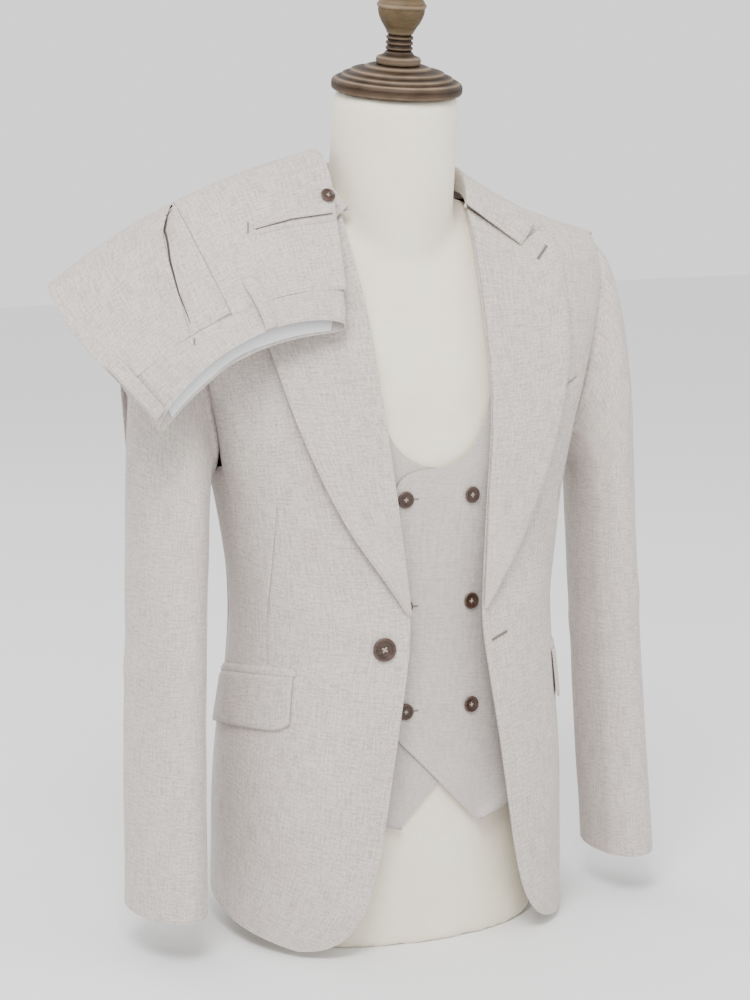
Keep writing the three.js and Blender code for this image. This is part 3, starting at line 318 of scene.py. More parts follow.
def turned_wood(name, stain, worn, streak):
    """Stained wood with streaks along the grain, faded patches and scuffed edges."""
    material = plain_material(name, Coat_Weight=0.02, Coat_Roughness=0.4, Specular_IOR_Level=0.14)
    tree = material.node_tree
    place = tree.nodes.new("ShaderNodeTexCoord").outputs["Object"]
    stretched = add_node(tree, "ShaderNodeVectorMath", _0=place, _1=(60.0, 60.0, 420.0))
    stretched.operation = "MULTIPLY"
    grain = add_node(tree, "ShaderNodeTexNoise", Vector=stretched.outputs[0], Scale=1.0, Detail=6.0,
                     Roughness=0.65)
    blotch = add_node(tree, "ShaderNodeTexNoise", Vector=place, Scale=38.0, Detail=4.0)
    pores = add_node(tree, "ShaderNodeMapRange", Value=grain.outputs[0], _1=0.35, _2=0.7)
    patches = add_node(tree, "ShaderNodeMapRange", Value=blotch.outputs[0], _1=0.4, _2=0.68)
    stained = mix_colour(tree, maths(tree, "MULTIPLY", pores.outputs[0], streak), stain, worn)
    faded = mix_colour(tree, maths(tree, "MULTIPLY", patches.outputs[0], 0.35), stained, worn)
    edge = tree.nodes.new("ShaderNodeAttribute")
    edge.attribute_name = "wear"
    scuff = maths(tree, "MULTIPLY", edge.outputs["Fac"], maths(tree, "ADD", blotch.outputs[0], 0.25))
    edges = mix_colour(tree, scuff, faded, SCUFFED_EDGE)
    relief = add_node(tree, "ShaderNodeBump", Height=grain.outputs[0], Strength=0.35, Distance=0.0006)
    rough = add_node(tree, "ShaderNodeMapRange", Value=grain.outputs[0], _3=0.38, _4=0.7)
    finish_with(material, edges, rough.outputs[0], relief.outputs[0])
    return material


cap_wood = turned_wood("stained_wood", WOOD, WOOD_WORN, 0.45)
cup_wood = turned_wood("olive_wood", OLIVE_WOOD, OLIVE_WOOD_WORN, 0.6)

CAP_PROFILE = (
    (117.3, 0, 0), (117.3, 59.5, 0), (117.8, 61, 0.1), (119.0, 62.1, 0.5), (120.5, 62.6, 0.2),
    (124.5, 62.6, 0), (126.2, 62.2, 0.1), (127.8, 61.0, 0.2), (129.0, 59.2, 0.9), (129.6, 58.0, 0.3),
    (129.9, 55.5, 0),
    (130.2, 53.6, 0), (131.6, 53.2, 0.2), (133.0, 52.6, 0.9), (133.6, 51.4, 0.3), (134.2, 48.0, 0),
    (134.9, 45.4, 0), (136.4, 45.0, 0.3), (137.5, 44.3, 0.9), (138.1, 43.0, 0.3), (138.9, 38.0, 0),
    (139.8, 33.0, 0), (140.9, 31.6, 0.4), (141.9, 29.8, 0.8), (142.6, 27.4, 0.2), (143.0, 24, 0),
    (143.0, 0, 0),
)
BASE_PROFILE = (
    (143.3, 0, 0), (143.3, 19.6, 0.3), (144.4, 21.0, 0.8), (146.2, 21.5, 0.6), (148.6, 21.3, 0.3),
    (150.4, 20.3, 0.9), (151.2, 18.0, 0.3), (152.0, 15.6, 0), (153.6, 14.0, 0), (155.2, 12.8, 0.2),
    (156.0, 12.0, 0), (156.0, 0, 0),
)
REED_HEIGHTS = (158.6, 163.6, 168.6)
REED_CURVE = ((-1.9, 11.4), (-1.2, 12.7), (0, 13.1), (1.2, 12.7), (1.9, 11.4))
REED_PROFILE = [(156.3, 0, 0), (156.3, 10.8, 0)]
for reed in REED_HEIGHTS:
    for step, swell in REED_CURVE:
        REED_PROFILE.append((reed + step, swell, 0.5 if step == 0 else 0))
REED_PROFILE += [(171.2, 10.6, 0), (171.2, 0, 0)]
CUP_PROFILE = (
    (171.5, 0, 0), (171.5, 11.3, 0), (173.0, 12.6, 0.5), (175.0, 13.4, 0.2), (179.0, 15.8, 0),
    (183.0, 18.5, 0), (188.0, 20.8, 0), (192.0, 22.0, 0), (194.6, 22.3, 0), (196.0, 22.0, 0),
    (197.0, 22.9, 0.4),
    (198.4, 23.6, 0.8), (199.8, 23.5, 0.5), (200.8, 22.4, 0), (202.2, 21.8, 0.2), (205.0, 19.9, 0),
    (208.8, 17.2, 0), (212.0, 13.9, 0), (214.4, 10.4, 0), (216.0, 6.6, 0.3), (216.9, 2.6, 0.4), (217.0, 0, 0),
)
for part_name, node, profile, finish in (
    ("turned_cap", "neck_cap", CAP_PROFILE, cap_wood),
    ("turned_collar", "finial_base", BASE_PROFILE, cap_wood),
    ("turned_reeds", "finial_rings", REED_PROFILE, cap_wood),
    ("turned_cup", "finial_cup", CUP_PROFILE, cup_wood),
):
    turned = turned_piece(part_name, profile, finish)
    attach(turned, "root")
    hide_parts(node)

# ---------------------------------------------------------------- waistcoat
# Double-breasted, cut from the suit's own slubbed wool and linen cloth: two fronts that
# overlap at the middle and a back of satin lining. Each panel is one thin sheet with
# turned-in edges, joined at the side seams and shoulders. The fronts are coloured darker
# than the jacket, and that darkness is painted shade.
CLOTH = (0.61, 0.553, 0.517, 1)
CLOTH_FLECK = (0.37, 0.325, 0.30, 1)
# The suiting's colours made darker for the waistcoat: painted shade where it lies under the jacket.
WAISTCOAT_SHADED_CLOTH = (0.545, 0.50, 0.472, 1)
WAISTCOAT_SHADED_FLECK = (0.36, 0.32, 0.30, 1)
LINING = (0.72, 0.73, 0.75, 1)
LINING_FLECK = (0.60, 0.61, 0.63, 1)
WAISTCOAT_WALL = 0.0014
BODY_MIDDLE = 0.008
CHEST_LEVEL = 0.56
RIM_SLACK = 4e-6
RUMPLE_SIZE = 0.05
EDGE_ROUNDING = 0.3
EDGE_TURN = math.radians(50)

suiting = woven_material("suiting", CLOTH, CLOTH_FLECK)
# The same cloth in a darker copy, painted shade, for the waistcoat fronts.
shaded_waistcoat_suiting = woven_material("shaded_waistcoat_suiting", WAISTCOAT_SHADED_CLOTH, WAISTCOAT_SHADED_FLECK, slub=0.6)
satin = woven_material("satin_lining", LINING, LINING_FLECK, slub=0.15, relief=0.1, sheen=0.3)


def body_axis(point):
    """The middle of the body at a point's height, from which its cloth faces away."""
    return Vector((0, BODY_MIDDLE, min(point.z, CHEST_LEVEL)))


def shown_face(solid, centre, wall):
    """Keeps only the face of a cloth wall that looks away from its centre."""
    through = {edge for edge in solid.edges if abs(edge.calc_length() - wall) < RIM_SLACK}
    broad = {face for face in solid.faces if not through & set(face.edges)}
    shown, most = set(), 0
    while broad:
        waiting, patch, facing = [broad.pop()], set(), 0
        while waiting:
            face = waiting.pop()
            patch.add(face)
            middle = face.calc_center_median()
            facing += face.calc_area() * face.normal.dot(middle - centre(middle))
            for other in {other for edge in face.edges for other in edge.link_faces} & broad:
                broad.discard(other)
                waiting.append(other)
        if facing > most:
            shown, most = patch, facing
    bmesh.ops.delete(solid, geom=[face for face in solid.faces if face not in shown], context="FACES")


def square_up(sheet):
    """Joins the triangles of a cloth grid back into its quads."""
    corner = next(vert for vert in sheet.verts if len(vert.link_faces) == 1)
    first = corner.link_faces[0]
    crossing = {first: next(edge for edge in first.edges if corner not in edge.verts)}
    waiting = [first]
    while waiting:
        face = waiting.pop()
        for edge in face.edges:
            for other in edge.link_faces:
                if other in crossing:
                    continue
                if edge == crossing[face]:
                    crossing[other] = edge
                else:
                    loose = next(vert for vert in edge.verts if vert not in crossing[face].verts)
                    crossing[other] = next(e for e in other.edges if e != edge and loose in e.verts)
                waiting.append(other)
    inside = {edge for edge in crossing.values() if len(edge.link_faces) == 2}
    bmesh.ops.dissolve_edges(sheet, edges=list(inside), use_verts=False)


def lay_grain(sheet):
    """Lays a map in metres on a cloth grid: its first number runs to the wearer's left and
    its second runs up, with the threads."""
    corner = next(vert for vert in sheet.verts if len(vert.link_faces) == 1)
    start = corner.link_faces[0].loops[0]
    while start.vert != corner:
        start = start.link_loop_next
    steps = {}
    round_face = (start, start.link_loop_next, start.link_loop_next.link_loop_next, start.link_loop_prev)
    for loop, step in zip(round_face, ((0, 0), (1, 0), (1, 1), (0, 1))):
        steps[loop.vert] = step
    waiting, done = [start.face], {start.face}
    while waiting:
        face = waiting.pop()
        for loop in face.loops:
            a, b = loop.vert, loop.link_loop_next.vert
            before, after = loop.link_loop_prev.vert, loop.link_loop_next.link_loop_next.vert
            for other in loop.edge.link_faces:
                if other in done:
                    continue
                turn = next(l for l in other.loops if l.edge == loop.edge)
                beyond_b, beyond_a = turn.link_loop_prev.vert, turn.link_loop_next.link_loop_next.vert
                if turn.vert == a:
                    beyond_a, beyond_b = beyond_b, beyond_a
                steps[beyond_a] = tuple(2 * x - y for x, y in zip(steps[a], steps[before]))
                steps[beyond_b] = tuple(2 * x - y for x, y in zip(steps[b], steps[after]))
                done.add(other)
                waiting.append(other)
    lengths = [{}, {}]
    climb = [0.0, 0.0]
    for edge in sheet.edges:
        a, b = (steps[vert] for vert in edge.verts)
        way = 0 if a[0] != b[0] else 1
        low = min(a[way], b[way])
        lengths[way].setdefault(low, []).append(edge.calc_length())
        climb[way] += abs(edge.verts[0].co.z - edge.verts[1].co.z) / len(sheet.edges)
    places = []
    for way in (0, 1):
        steps_there = sorted(lengths[way])
        place, total = {steps_there[0]: 0.0}, 0.0
        for step in steps_there:
            total += sum(lengths[way][step]) / len(lengths[way][step])
            place[step + 1] = total
        places.append(place)
    up = 1 if climb[1] >= climb[0] else 0
    middle = sum((vert.co for vert in steps), Vector()) / len(steps)
    for way in (0, 1):
        half = (min(places[way]) + max(places[way])) / 2
        axis = 2 if way == up else 0
        if sum((steps[vert][way] - half) * (vert.co - middle)[axis] for vert in steps) < 0:
            total = max(places[way].values())
            places[way] = {step: total - place for step, place in places[way].items()}
    grain = sheet.loops.layers.uv.new("grain")
    for face in sheet.faces:
        for loop in face.loops:
            step = steps[loop.vert]
            loop[grain].uv = (places[1 - up][step[1 - up]], places[up][step[up]])


def on_cloth(tree, x, z, way=(0, 1, 0)):
    """The point where a straight look along way at (x, z) first meets the cloth."""
    way = Vector(way)
    side = Vector((0, 0, 1)).cross(way)
    start = side * (-x) + Vector((0, 0, z)) - way * 2
    return tree.ray_cast(start, way)[0]


def path_gaps(points, path):
    """Each point's distance from a line on the cloth, and its share of the way along it."""
    gaps, shares = np.full(len(points), 9.0), np.zeros(len(points))
    steps = np.linalg.norm(np.diff(path, axis=0), axis=1)
    walked = 0.0
    for start, end, step in zip(path[:-1], path[1:], steps):
        share = np.clip((points - start) @ (end - start) / step ** 2, 0, 1)
        gap = np.linalg.norm(points - start - share[:, None] * (end - start), axis=1)
        nearer = gap < gaps
        gaps[nearer] = gap[nearer]
        shares[nearer] = (walked + share[nearer] * step) / steps.sum()
        walked += step
    return gaps, shares


def press_path(shape, path, width, height, fade=0.5):
    """Raises a soft ridge along a path, or sinks a trough where the height is below nothing."""
    shape.normal_update()
    points = np.array([vert.co for vert in shape.verts])
    gaps, shares = path_gaps(points, np.array(path))
    lift = height * np.exp(-((gaps / width) ** 2)) * np.sin(np.pi * np.clip(shares, 0.001, 0.999)) ** fade
    for vert, rise, normal in [(v, r, v.normal.copy()) for v, r in zip(shape.verts, lift) if abs(r) > 1e-6]:
        vert.co += normal * rise


def refine_near(shape, path, reach, cuts):
    """Makes the cloth's mesh finer beside a path, for a crisp line."""
    points = np.array([face.calc_center_median() for face in shape.faces])
    gaps, _ = path_gaps(points, np.array(path))
    near = {edge for face, gap in zip(shape.faces, gaps) if gap < reach for edge in face.edges}
    bmesh.ops.subdivide_edges(shape, edges=list(near), cuts=cuts, use_grid_fill=True, smooth=0)


def spread_noise(shape, amount, size, seed):
    """The slight unevenness of worn cloth."""
    shape.normal_update()
    shift = Vector((seed * 3.1, seed * 1.7, seed * 0.9))
    moves = [(v, v.normal * amount * noise.noise(v.co / size + shift)) for v in shape.verts]
    for vert, move in moves:
        vert.co += move


def press_lines(shape, lines, side, way=(0, 1, 0), tree=None):
    """Presses creases, each a line of (x, z) for the left side with its width and height."""
    tree = tree or BVHTree.FromBMesh(shape)
    for points, width, height in lines:
        path = [on_cloth(tree, side * x, z, way) for x, z in points]
        if all(path):
            press_path(shape, path, width, height)


SEAM_DITCH = 0.0007
TUCK_DEPTH = 0.0014
SAME_ROW = 1e-5


def tuck_edges(shape, sides, out):
    """Turns the named sides of a panel down and under, as a seam allowance is."""
    grain = shape.loops.layers.uv.active
    place = {loop.vert: loop[grain].uv.copy() for face in shape.faces for loop in face.loops}
    low = [min(uv[way] for uv in place.values()) for way in (0, 1)]
    high = [max(uv[way] for uv in place.values()) for way in (0, 1)]
    shape.normal_update()
    for side in sides:
        way = 0 if side in ("start", "end") else 1
        target = low[way] if side in ("start", "bottom") else high[way]
        edges = [edge for edge in shape.edges if edge.is_boundary
                 and all(v in place and abs(place[v][way] - target) < SAME_ROW for v in edge.verts)]
        outwards = {}
        for edge in edges:
            face = edge.link_faces[0]
            middle = (edge.verts[0].co + edge.verts[1].co) / 2
            span = (edge.verts[1].co - edge.verts[0].co).normalized()
            away = middle - face.calc_center_median()
            away -= span * away.dot(span)
            for vert in edge.verts:
                outwards[vert] = outwards.get(vert, Vector()) + away.normalized()
        normals = {vert: vert.normal.copy() for vert in outwards}
        made = bmesh.ops.extrude_edge_only(shape, edges=edges)["geom"]
        fresh = [item for item in made if isinstance(item, bmesh.types.BMVert)]
        for old, away in outwards.items():
            new = min(fresh, key=lambda vert: (vert.co - old.co).length_squared)
            new.co = old.co + away.normalized() * out - normals[old] * TUCK_DEPTH
            old.co -= normals[old] * SEAM_DITCH
    shape.normal_update()


def cloth_sheet(name, node, material, wall, centre=body_axis, levels=3, press=None, tucks=(),
                turn_in=0.0022, unevenness=0.0005, solid_wall=None):
    """A thin sheet on the form of its solid, pressed and creased, with softened edges."""
    sheet = solid_of(node)
    shown_face(sheet, centre, solid_wall or wall)
    square_up(sheet)
    lay_grain(sheet)
    piece = piece_of(name, sheet)
    smoothing = piece.modifiers.new("smoothing", "SUBSURF")
    smoothing.levels = smoothing.render_levels = levels
    smoothing.boundary_smooth = "PRESERVE_CORNERS"
    settle(piece)
    shape = bmesh.new()
    shape.from_mesh(piece.data)
    spread_noise(shape, unevenness, RUMPLE_SIZE, len(name))
    if press:
        press(shape)
    tuck_edges(shape, tucks, turn_in)
    shape.normal_update()
    shape.to_mesh(piece.data)
    shape.free()
    piece.data.materials.append(material)
    piece.data.polygons.foreach_set("use_smooth", [True] * len(piece.data.polygons))
    thickness = piece.modifiers.new("thickness", "SOLIDIFY")
    thickness.thickness = wall
    thickness.offset = -1
    softened = piece.modifiers.new("softened", "BEVEL")
    softened.width = wall * EDGE_ROUNDING
    softened.segments = 2
    softened.limit_method = "ANGLE"
    softened.angle_limit = EDGE_TURN
    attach(piece, "root")
    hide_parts(node)
    return piece


WAISTCOAT_PRESSES = (
    (((0.062, 0.452), (0.078, 0.380), (0.083, 0.320), (0.079, 0.235)), 0.004, -0.0009),
    (((0.052, 0.300), (0.085, 0.313), (0.115, 0.335)), 0.011, 0.0011),
    (((0.040, 0.395), (0.075, 0.372), (0.110, 0.360)), 0.010, 0.0008),
)


def press_waistcoat(side):
    """The front dart, and the pulls of the buttons."""
    def press(shape):
        press_lines(shape, WAISTCOAT_PRESSES, side)
    return press


over_front = cloth_sheet("waistcoat_over_panel", "waistcoat_over_front", shaded_waistcoat_suiting, WAISTCOAT_WALL,
                         press=press_waistcoat(1), tucks=("end", "top"))
under_front = cloth_sheet("waistcoat_under_panel", "waistcoat_under_front", shaded_waistcoat_suiting, WAISTCOAT_WALL,
                          press=press_waistcoat(-1), tucks=("start", "top"))
waistcoat_rear = cloth_sheet("waistcoat_back_panel", "waistcoat_back", satin, WAISTCOAT_WALL, levels=2)

# ---------------------------------------------------------------- jacket body
# The body is two fronts, two side pieces and two backs, joined by pressed seams. A front
# dart shapes the waist on each side, and the fronts curve away below the one button.
JACKET_WALL = 0.0016
ARMHOLE_ALLOWANCE = 0.009
DART_REACH = 0.006
DART_DITCH = (0.0014, -0.0009)
DART_SWELL = (0.012, 0.0008)
FRONT_DART = ((0.150, 0.435), (0.151, 0.380), (0.152, 0.330), (0.153, 0.281))
WAIST_PULLS = {
    1: (
        (((0.060, 0.318), (0.095, 0.330), (0.130, 0.352)), 0.012, 0.0016),
        (((0.062, 0.285), (0.100, 0.268), (0.135, 0.245)), 0.012, 0.0012),
        (((0.168, 0.600), (0.176, 0.540), (0.172, 0.480)), 0.012, -0.0018),
        (((0.095, 0.180), (0.115, 0.110), (0.120, 0.040)), 0.022, 0.0016),
    ),
    -1: (
        (((0.072, 0.312), (0.105, 0.330), (0.140, 0.356)), 0.012, 0.0018),
        (((0.074, 0.290), (0.108, 0.262), (0.146, 0.238)), 0.013, 0.0014),
        (((0.165, 0.590), (0.175, 0.530), (0.170, 0.470)), 0.012, -0.0016),
        (((0.085, 0.190), (0.110, 0.110), (0.118, 0.030)), 0.024, 0.0018),
    ),
}


def press_front(side):
    """Pulls from the button and under the arm, and a sewn dart in a slight swell."""
    def press(shape):
        tree = BVHTree.FromBMesh(shape)
        press_lines(shape, WAIST_PULLS[side], side, tree=tree)
        dart = [on_cloth(tree, side * x, z) for x, z in FRONT_DART]
        refine_near(shape, dart, DART_REACH, 3)
        press_path(shape, dart, *DART_DITCH, fade=0.2)
        press_path(shape, dart, *DART_SWELL)
    return press


def turn_armhole(shape):
    """The side piece's wide allowance at the foot of the armhole."""
    tuck_edges(shape, ("top",), ARMHOLE_ALLOWANCE)


for hand, side in (("left", 1), ("right", -1)):
    front = cloth_sheet(f"jacket_front_panel_{hand}", f"jacket_front_{hand}", suiting, JACKET_WALL,
                        press=press_front(side), tucks=("end", "top") if side > 0 else ("start", "top"))
    flank = cloth_sheet(f"jacket_side_panel_{hand}", f"jacket_side_{hand}", suiting, JACKET_WALL,
                        press=turn_armhole, tucks=("start", "end"))
    rear = cloth_sheet(f"jacket_back_panel_{hand}", f"jacket_back_{hand}", suiting, JACKET_WALL,
                       tucks=("start", "end", "top"))

# ---------------------------------------------------------------- lapels and collar
# Peak lapels roll over from the front edge and lie on the chest. The collar is a fall over
# a stand, and meets each lapel at a slanting gorge seam that opens as a narrow notch.
LAPEL_WALL = 0.0022
LAPEL_LIFT = 0.0032
LIFT_REACH = 0.022
COLLAR_WALL = 0.0015
COLLAR_LEVEL = 0.6


def grain_of(shape):
    """Each vertex's place on the grain map, and the map's far corner."""
    grain = shape.loops.layers.uv.active
    place = {loop.vert: loop[grain].uv.copy() for face in shape.faces for loop in face.loops}
    return place, Vector((max(uv.x for uv in place.values()), max(uv.y for uv in place.values())))


def ease(value, low, high):
    """A smooth step from 0 at low to 1 at high."""
    share = min(max((value - low) / (high - low), 0), 1)
    return share * share * (3 - 2 * share)


def press_lapel(side):
    """The lapel's outer edge stands a little off the chest, most between peak and waist."""
    def press(shape):
        place, far = grain_of(shape)
        shape.normal_update()
        for vert, uv in place.items():
            from_edge = far.x - uv.x if side > 0 else uv.x
            along = math.sin(math.pi * min(max(uv.y / far.y, 0), 1)) ** 0.5
            vert.co += vert.normal * LAPEL_LIFT * along * math.exp(-((from_edge / LIFT_REACH) ** 2))
    return press


for hand, side in (("left", 1), ("right", -1)):
    lapel = cloth_sheet(f"jacket_lapel_facing_{hand}", f"jacket_lapel_{hand}", suiting, LAPEL_WALL,
                        solid_wall=JACKET_WALL, press=press_lapel(side),
                        tucks=("end", "top") if side > 0 else ("start", "top"), unevenness=0.0008)


def collar_axis(point):
    """A place just inside the neck and below it, from which the collar's fall faces away."""
    return Vector((point.x * 0.9, point.y * 0.9, COLLAR_LEVEL))


collar = cloth_sheet("jacket_collar_fall", "jacket_collar", suiting, COLLAR_WALL, centre=collar_axis,
                     tucks=("bottom",), turn_in=0.0012)

# ---------------------------------------------------------------- sleeves
# Each sleeve is cut in two, a top sleeve and an under sleeve, seamed down the front and the
# back of the arm. It hangs empty from the armhole over a soft sleevehead.
SLEEVEHEAD_LEVEL = 0.6
UPPER_ARM_FOOT = 0.44
UPPER_ARM_OUT = 0.222
LOWER_ARM_OUT = 0.240


def sleeve_axis(point):
    """The middle of the arm at a point's height."""
    level = min(point.z, SLEEVEHEAD_LEVEL)
    out = UPPER_ARM_OUT if level > UPPER_ARM_FOOT else LOWER_ARM_OUT
    return Vector((math.copysign(out, point.x), 0, level))


OUTER_SLEEVE_PRESSES = (
    (((0.010, 0.560), (-0.012, 0.470), (-0.018, 0.380)), 0.016, 0.0022),
    (((-0.035, 0.330), (0.0, 0.300), (0.038, 0.312)), 0.013, -0.0022),
    (((-0.030, 0.285), (0.004, 0.262), (0.036, 0.280)), 0.012, 0.0018),
    (((0.018, 0.240), (0.006, 0.170), (-0.004, 0.090)), 0.018, 0.0018),
)
FRONT_SLEEVE_PRESSES = (
    (((0.232, 0.500), (0.240, 0.440), (0.246, 0.370)), 0.014, -0.0018),
    (((0.240, 0.350), (0.252, 0.318), (0.262, 0.300)), 0.010, 0.0018),
    (((0.246, 0.230), (0.250, 0.160), (0.252, 0.080)), 0.012, 0.0012),
)


def press_sleeve(side):
    """The folds at the elbow and down the arm."""
    def press(shape):
        tree = BVHTree.FromBMesh(shape)
        press_lines(shape, OUTER_SLEEVE_PRESSES, side, (-side, 0, 0), tree)
        press_lines(shape, FRONT_SLEEVE_PRESSES, side, tree=tree)
    return press


for hand, side in (("left", 1), ("right", -1)):
    for part, width, area in (("top", 0.22, 0.11), ("under", 0.13, 0.065)):
        sleeve = cloth_sheet(f"jacket_{part}_sleeve_cloth_{hand}", f"jacket_{part}_sleeve_{hand}", suiting,
                             JACKET_WALL, centre=sleeve_axis, press=press_sleeve(side),
                             tucks=("start", "end", "top"), turn_in=0.0042)

# ---------------------------------------------------------------- trousers
# Flat-fronted trousers, folded on their pressed creases and laid over the right shoulder,
# waist to the front. The outer layers show: front leg, back leg, slant pocket and band.
TROUSER_WALL = 0.0014
FACING_WALL = 0.001
LINING_WALL = 0.0008


BAND_END = -0.285
BAND_WIDTH = 0.19
BAND_FRONT = -0.096
BAND_FOOT = 0.545
BAND_CLIMB = 0.07


def trouser_axis(point):
    """A place under the folded cloth, nearer the shoulder that carries it."""
    return Vector((point.x, point.y * 0.3, point.z - 0.06))


def band_axis(point):
    """The middle of the folded waist, which climbs from its outer end to the neck."""
    share = min(max((point.x - BAND_END) / BAND_WIDTH, 0), 1)
    return Vector((point.x, BAND_FRONT, BAND_FOOT + BAND_CLIMB * share))


MOUTH_LENGTH = 0.155
MOUTH_GAPE = 0.0048
GAPE_REACH = 0.011
FACING_SINK = 0.0010
FACING_RISE = 0.0026


def press_front_leg(shape):
    """The pocket mouth springs open a little between the waistband and its lower end."""
    place, far = grain_of(shape)
    shape.normal_update()
    for vert, uv in place.items():
        from_edge, from_band = far.x - uv.x, far.y - uv.y
        open_share = math.sin(math.pi * min(from_band / MOUTH_LENGTH, 1))
        vert.co += vert.normal * MOUTH_GAPE * open_share * math.exp(-((from_edge / GAPE_REACH) ** 2))


def press_facing(shape):
    """The facing comes up to lie level with the back leg at the side seam."""
    place, far = grain_of(shape)
    shape.normal_update()
    for vert, uv in place.items():
        across = uv.x / far.x
        rise = FACING_RISE * ease(across, 0.45, 0.98) - FACING_SINK * ease(across, 0.4, 0.1)
        vert.co += vert.normal * rise


front_leg = cloth_sheet("trouser_front_leg_cloth", "trousers_front_leg", suiting, TROUSER_WALL,
                        centre=trouser_axis, press=press_front_leg, tucks=("end", "top"))
back_leg = cloth_sheet("trouser_back_leg_cloth", "trousers_back_leg", suiting, TROUSER_WALL,
                       centre=trouser_axis, tucks=("start", "top"))
pocket_facing = cloth_sheet("trouser_pocket_facing_cloth", "trousers_pocket_facing", suiting, FACING_WALL,
                            centre=trouser_axis, press=press_facing, tucks=("end", "top"))
waistband = cloth_sheet("trouser_waistband_cloth", "trousers_waistband", suiting, TROUSER_WALL,
                        centre=band_axis, tucks=("top",))
band_lining = cloth_sheet("trouser_band_lining", "trousers_waist_lining", satin, LINING_WALL,
                          centre=band_axis, levels=2)

# ---------------------------------------------------------------- folded legs
# Under the outermost layer the rest of both legs lies in one soft stack, folded on the
# creases. Its edges show the turned cloth of each layer, none quite in line.
LEG_LAYERS = 5
LAYER_GROOVE = 0.0034
LAYER_SWELL = 0.0006
LAYER_SET_BACK = 0.0022
LAYER_WANDER = 0.0012
RIM_TURN = math.radians(55)

stacked_suiting = woven_material("stacked_suiting", CLOTH, CLOTH_FLECK, grain="Object")


def layered_stack(name, node, layers):
    """A solid whose rim is worked into the folds of its layers."""
    stack = solid_of(node)
    turned = {edge for edge in stack.edges if edge.calc_face_angle(0) > RIM_TURN}
    loose, patches = set(stack.faces), []
    while loose:
        waiting, patch = [loose.pop()], set()
        while waiting:
            face = waiting.pop()
            patch.add(face)
            for edge in set(face.edges) - turned:
                for other in set(edge.link_faces) & loose:
                    loose.discard(other)
                    waiting.append(other)
        patches.append(patch)
    patches.sort(key=lambda patch: -sum(face.calc_area() for face in patch))
    broad = patches[0] | patches[1]
    rim = [face for face in stack.faces if face not in broad]
    diagonals = {max(face.edges, key=lambda edge: edge.calc_length()) for face in rim}
    upper = {vert for face in patches[0] for vert in face.verts}
    through = {edge for face in rim for edge in face.edges
               if edge not in diagonals and (edge.verts[0] in upper) != (edge.verts[1] in upper)}
    ends = [(edge.verts[0].co.copy(), edge.verts[1].co.copy()) if edge.verts[0] in upper
            else (edge.verts[1].co.copy(), edge.verts[0].co.copy()) for edge in through]
    outwards = []
    for edge in through:
        away = sum((face.normal * face.calc_area() for face in edge.link_faces), Vector())
        outwards.append(away.normalized())
    bmesh.ops.dissolve_edges(stack, edges=list(diagonals), use_verts=False)
    split = bmesh.ops.subdivide_edges(stack, edges=list(through), cuts=2 * layers - 1)["geom_inner"]
    lots = random.Random(7)
    set_back = [lots.uniform(0.0, LAYER_SET_BACK) for _ in range(layers)]
    for vert in {item for item in split if isinstance(item, bmesh.types.BMVert)}:
        detours = [(vert.co - top).length + (vert.co - low).length - (top - low).length for top, low in ends]
        near = min(range(len(ends)), key=lambda end: abs(detours[end]))
        top, low = ends[near]
        ring = round((vert.co - top).length / (low - top).length * 2 * layers)
        if ring % 2:
            wander = LAYER_WANDER * noise.noise(vert.co / 0.06 + Vector((ring, 0, 0)))
            vert.co += outwards[near] * (LAYER_SWELL - set_back[ring // 2] + wander)
        else:
            vert.co -= outwards[near] * LAYER_GROOVE
    stack.normal_update()
    piece = piece_of(name, stack, stacked_suiting)
    softening = piece.modifiers.new("softening", "SUBSURF")
    softening.levels = softening.render_levels = 3
    settle(piece)
    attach(piece, "root")
    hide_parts(node)
    return piece


stack = layered_stack("trouser_folded_legs", "trousers_folded_legs", LEG_LAYERS)

# ---------------------------------------------------------------- pockets and belt loops
# Jetted hip pockets with flaps, a breast welt, a jetted back pocket in the trousers and
# narrow belt loops. All are cut from the suit's cloth and sewn on the panel under them.
WELT_SINK = 0.0013
HIP_JET_WALL = 0.001
BACK_JET_WALL = 0.0011


def small_cloth(name, node, wall, centre=body_axis, turn_in=0.0022, levels=3, press=None):
    """A strip with all its edges turned in, sewn on the cloth under it."""
    strip = cloth_sheet(name, node, suiting, wall, centre=centre, levels=levels, press=press, turn_in=turn_in,
                        tucks=("start", "end", "top", "bottom"), unevenness=0.0002)


def press_welt(shape):
    """Only the welt's top edge stands proud. The rest is pressed flat into the chest."""
    place, far = grain_of(shape)
    shape.normal_update()
    for vert, uv in place.items():
        vert.co -= vert.normal * WELT_SINK * ease(far.y - uv.y, 0.001, 0.009)


for hand in ("left", "right"):
    small_cloth(f"jacket_flap_cloth_{hand}", f"jacket_flap_{hand}", JACKET_WALL,
                turn_in=0.0006)
    small_cloth(f"jacket_pocket_jet_cloth_{hand}", f"jacket_pocket_jet_{hand}", HIP_JET_WALL,
                levels=2)
small_cloth("jacket_breast_welt_cloth", "jacket_breast_welt", JACKET_WALL,
            press=press_welt)
for which in ("outer", "middle"):
    small_cloth(f"trouser_belt_loop_{which}", f"trousers_belt_loop_{which}", TROUSER_WALL,
                centre=band_axis, turn_in=0.0003)
for level in ("upper", "lower"):
    small_cloth(f"trouser_back_pocket_{level}_jet", f"trousers_back_pocket_jet_{level}", BACK_JET_WALL,
                centre=trouser_axis, levels=2)

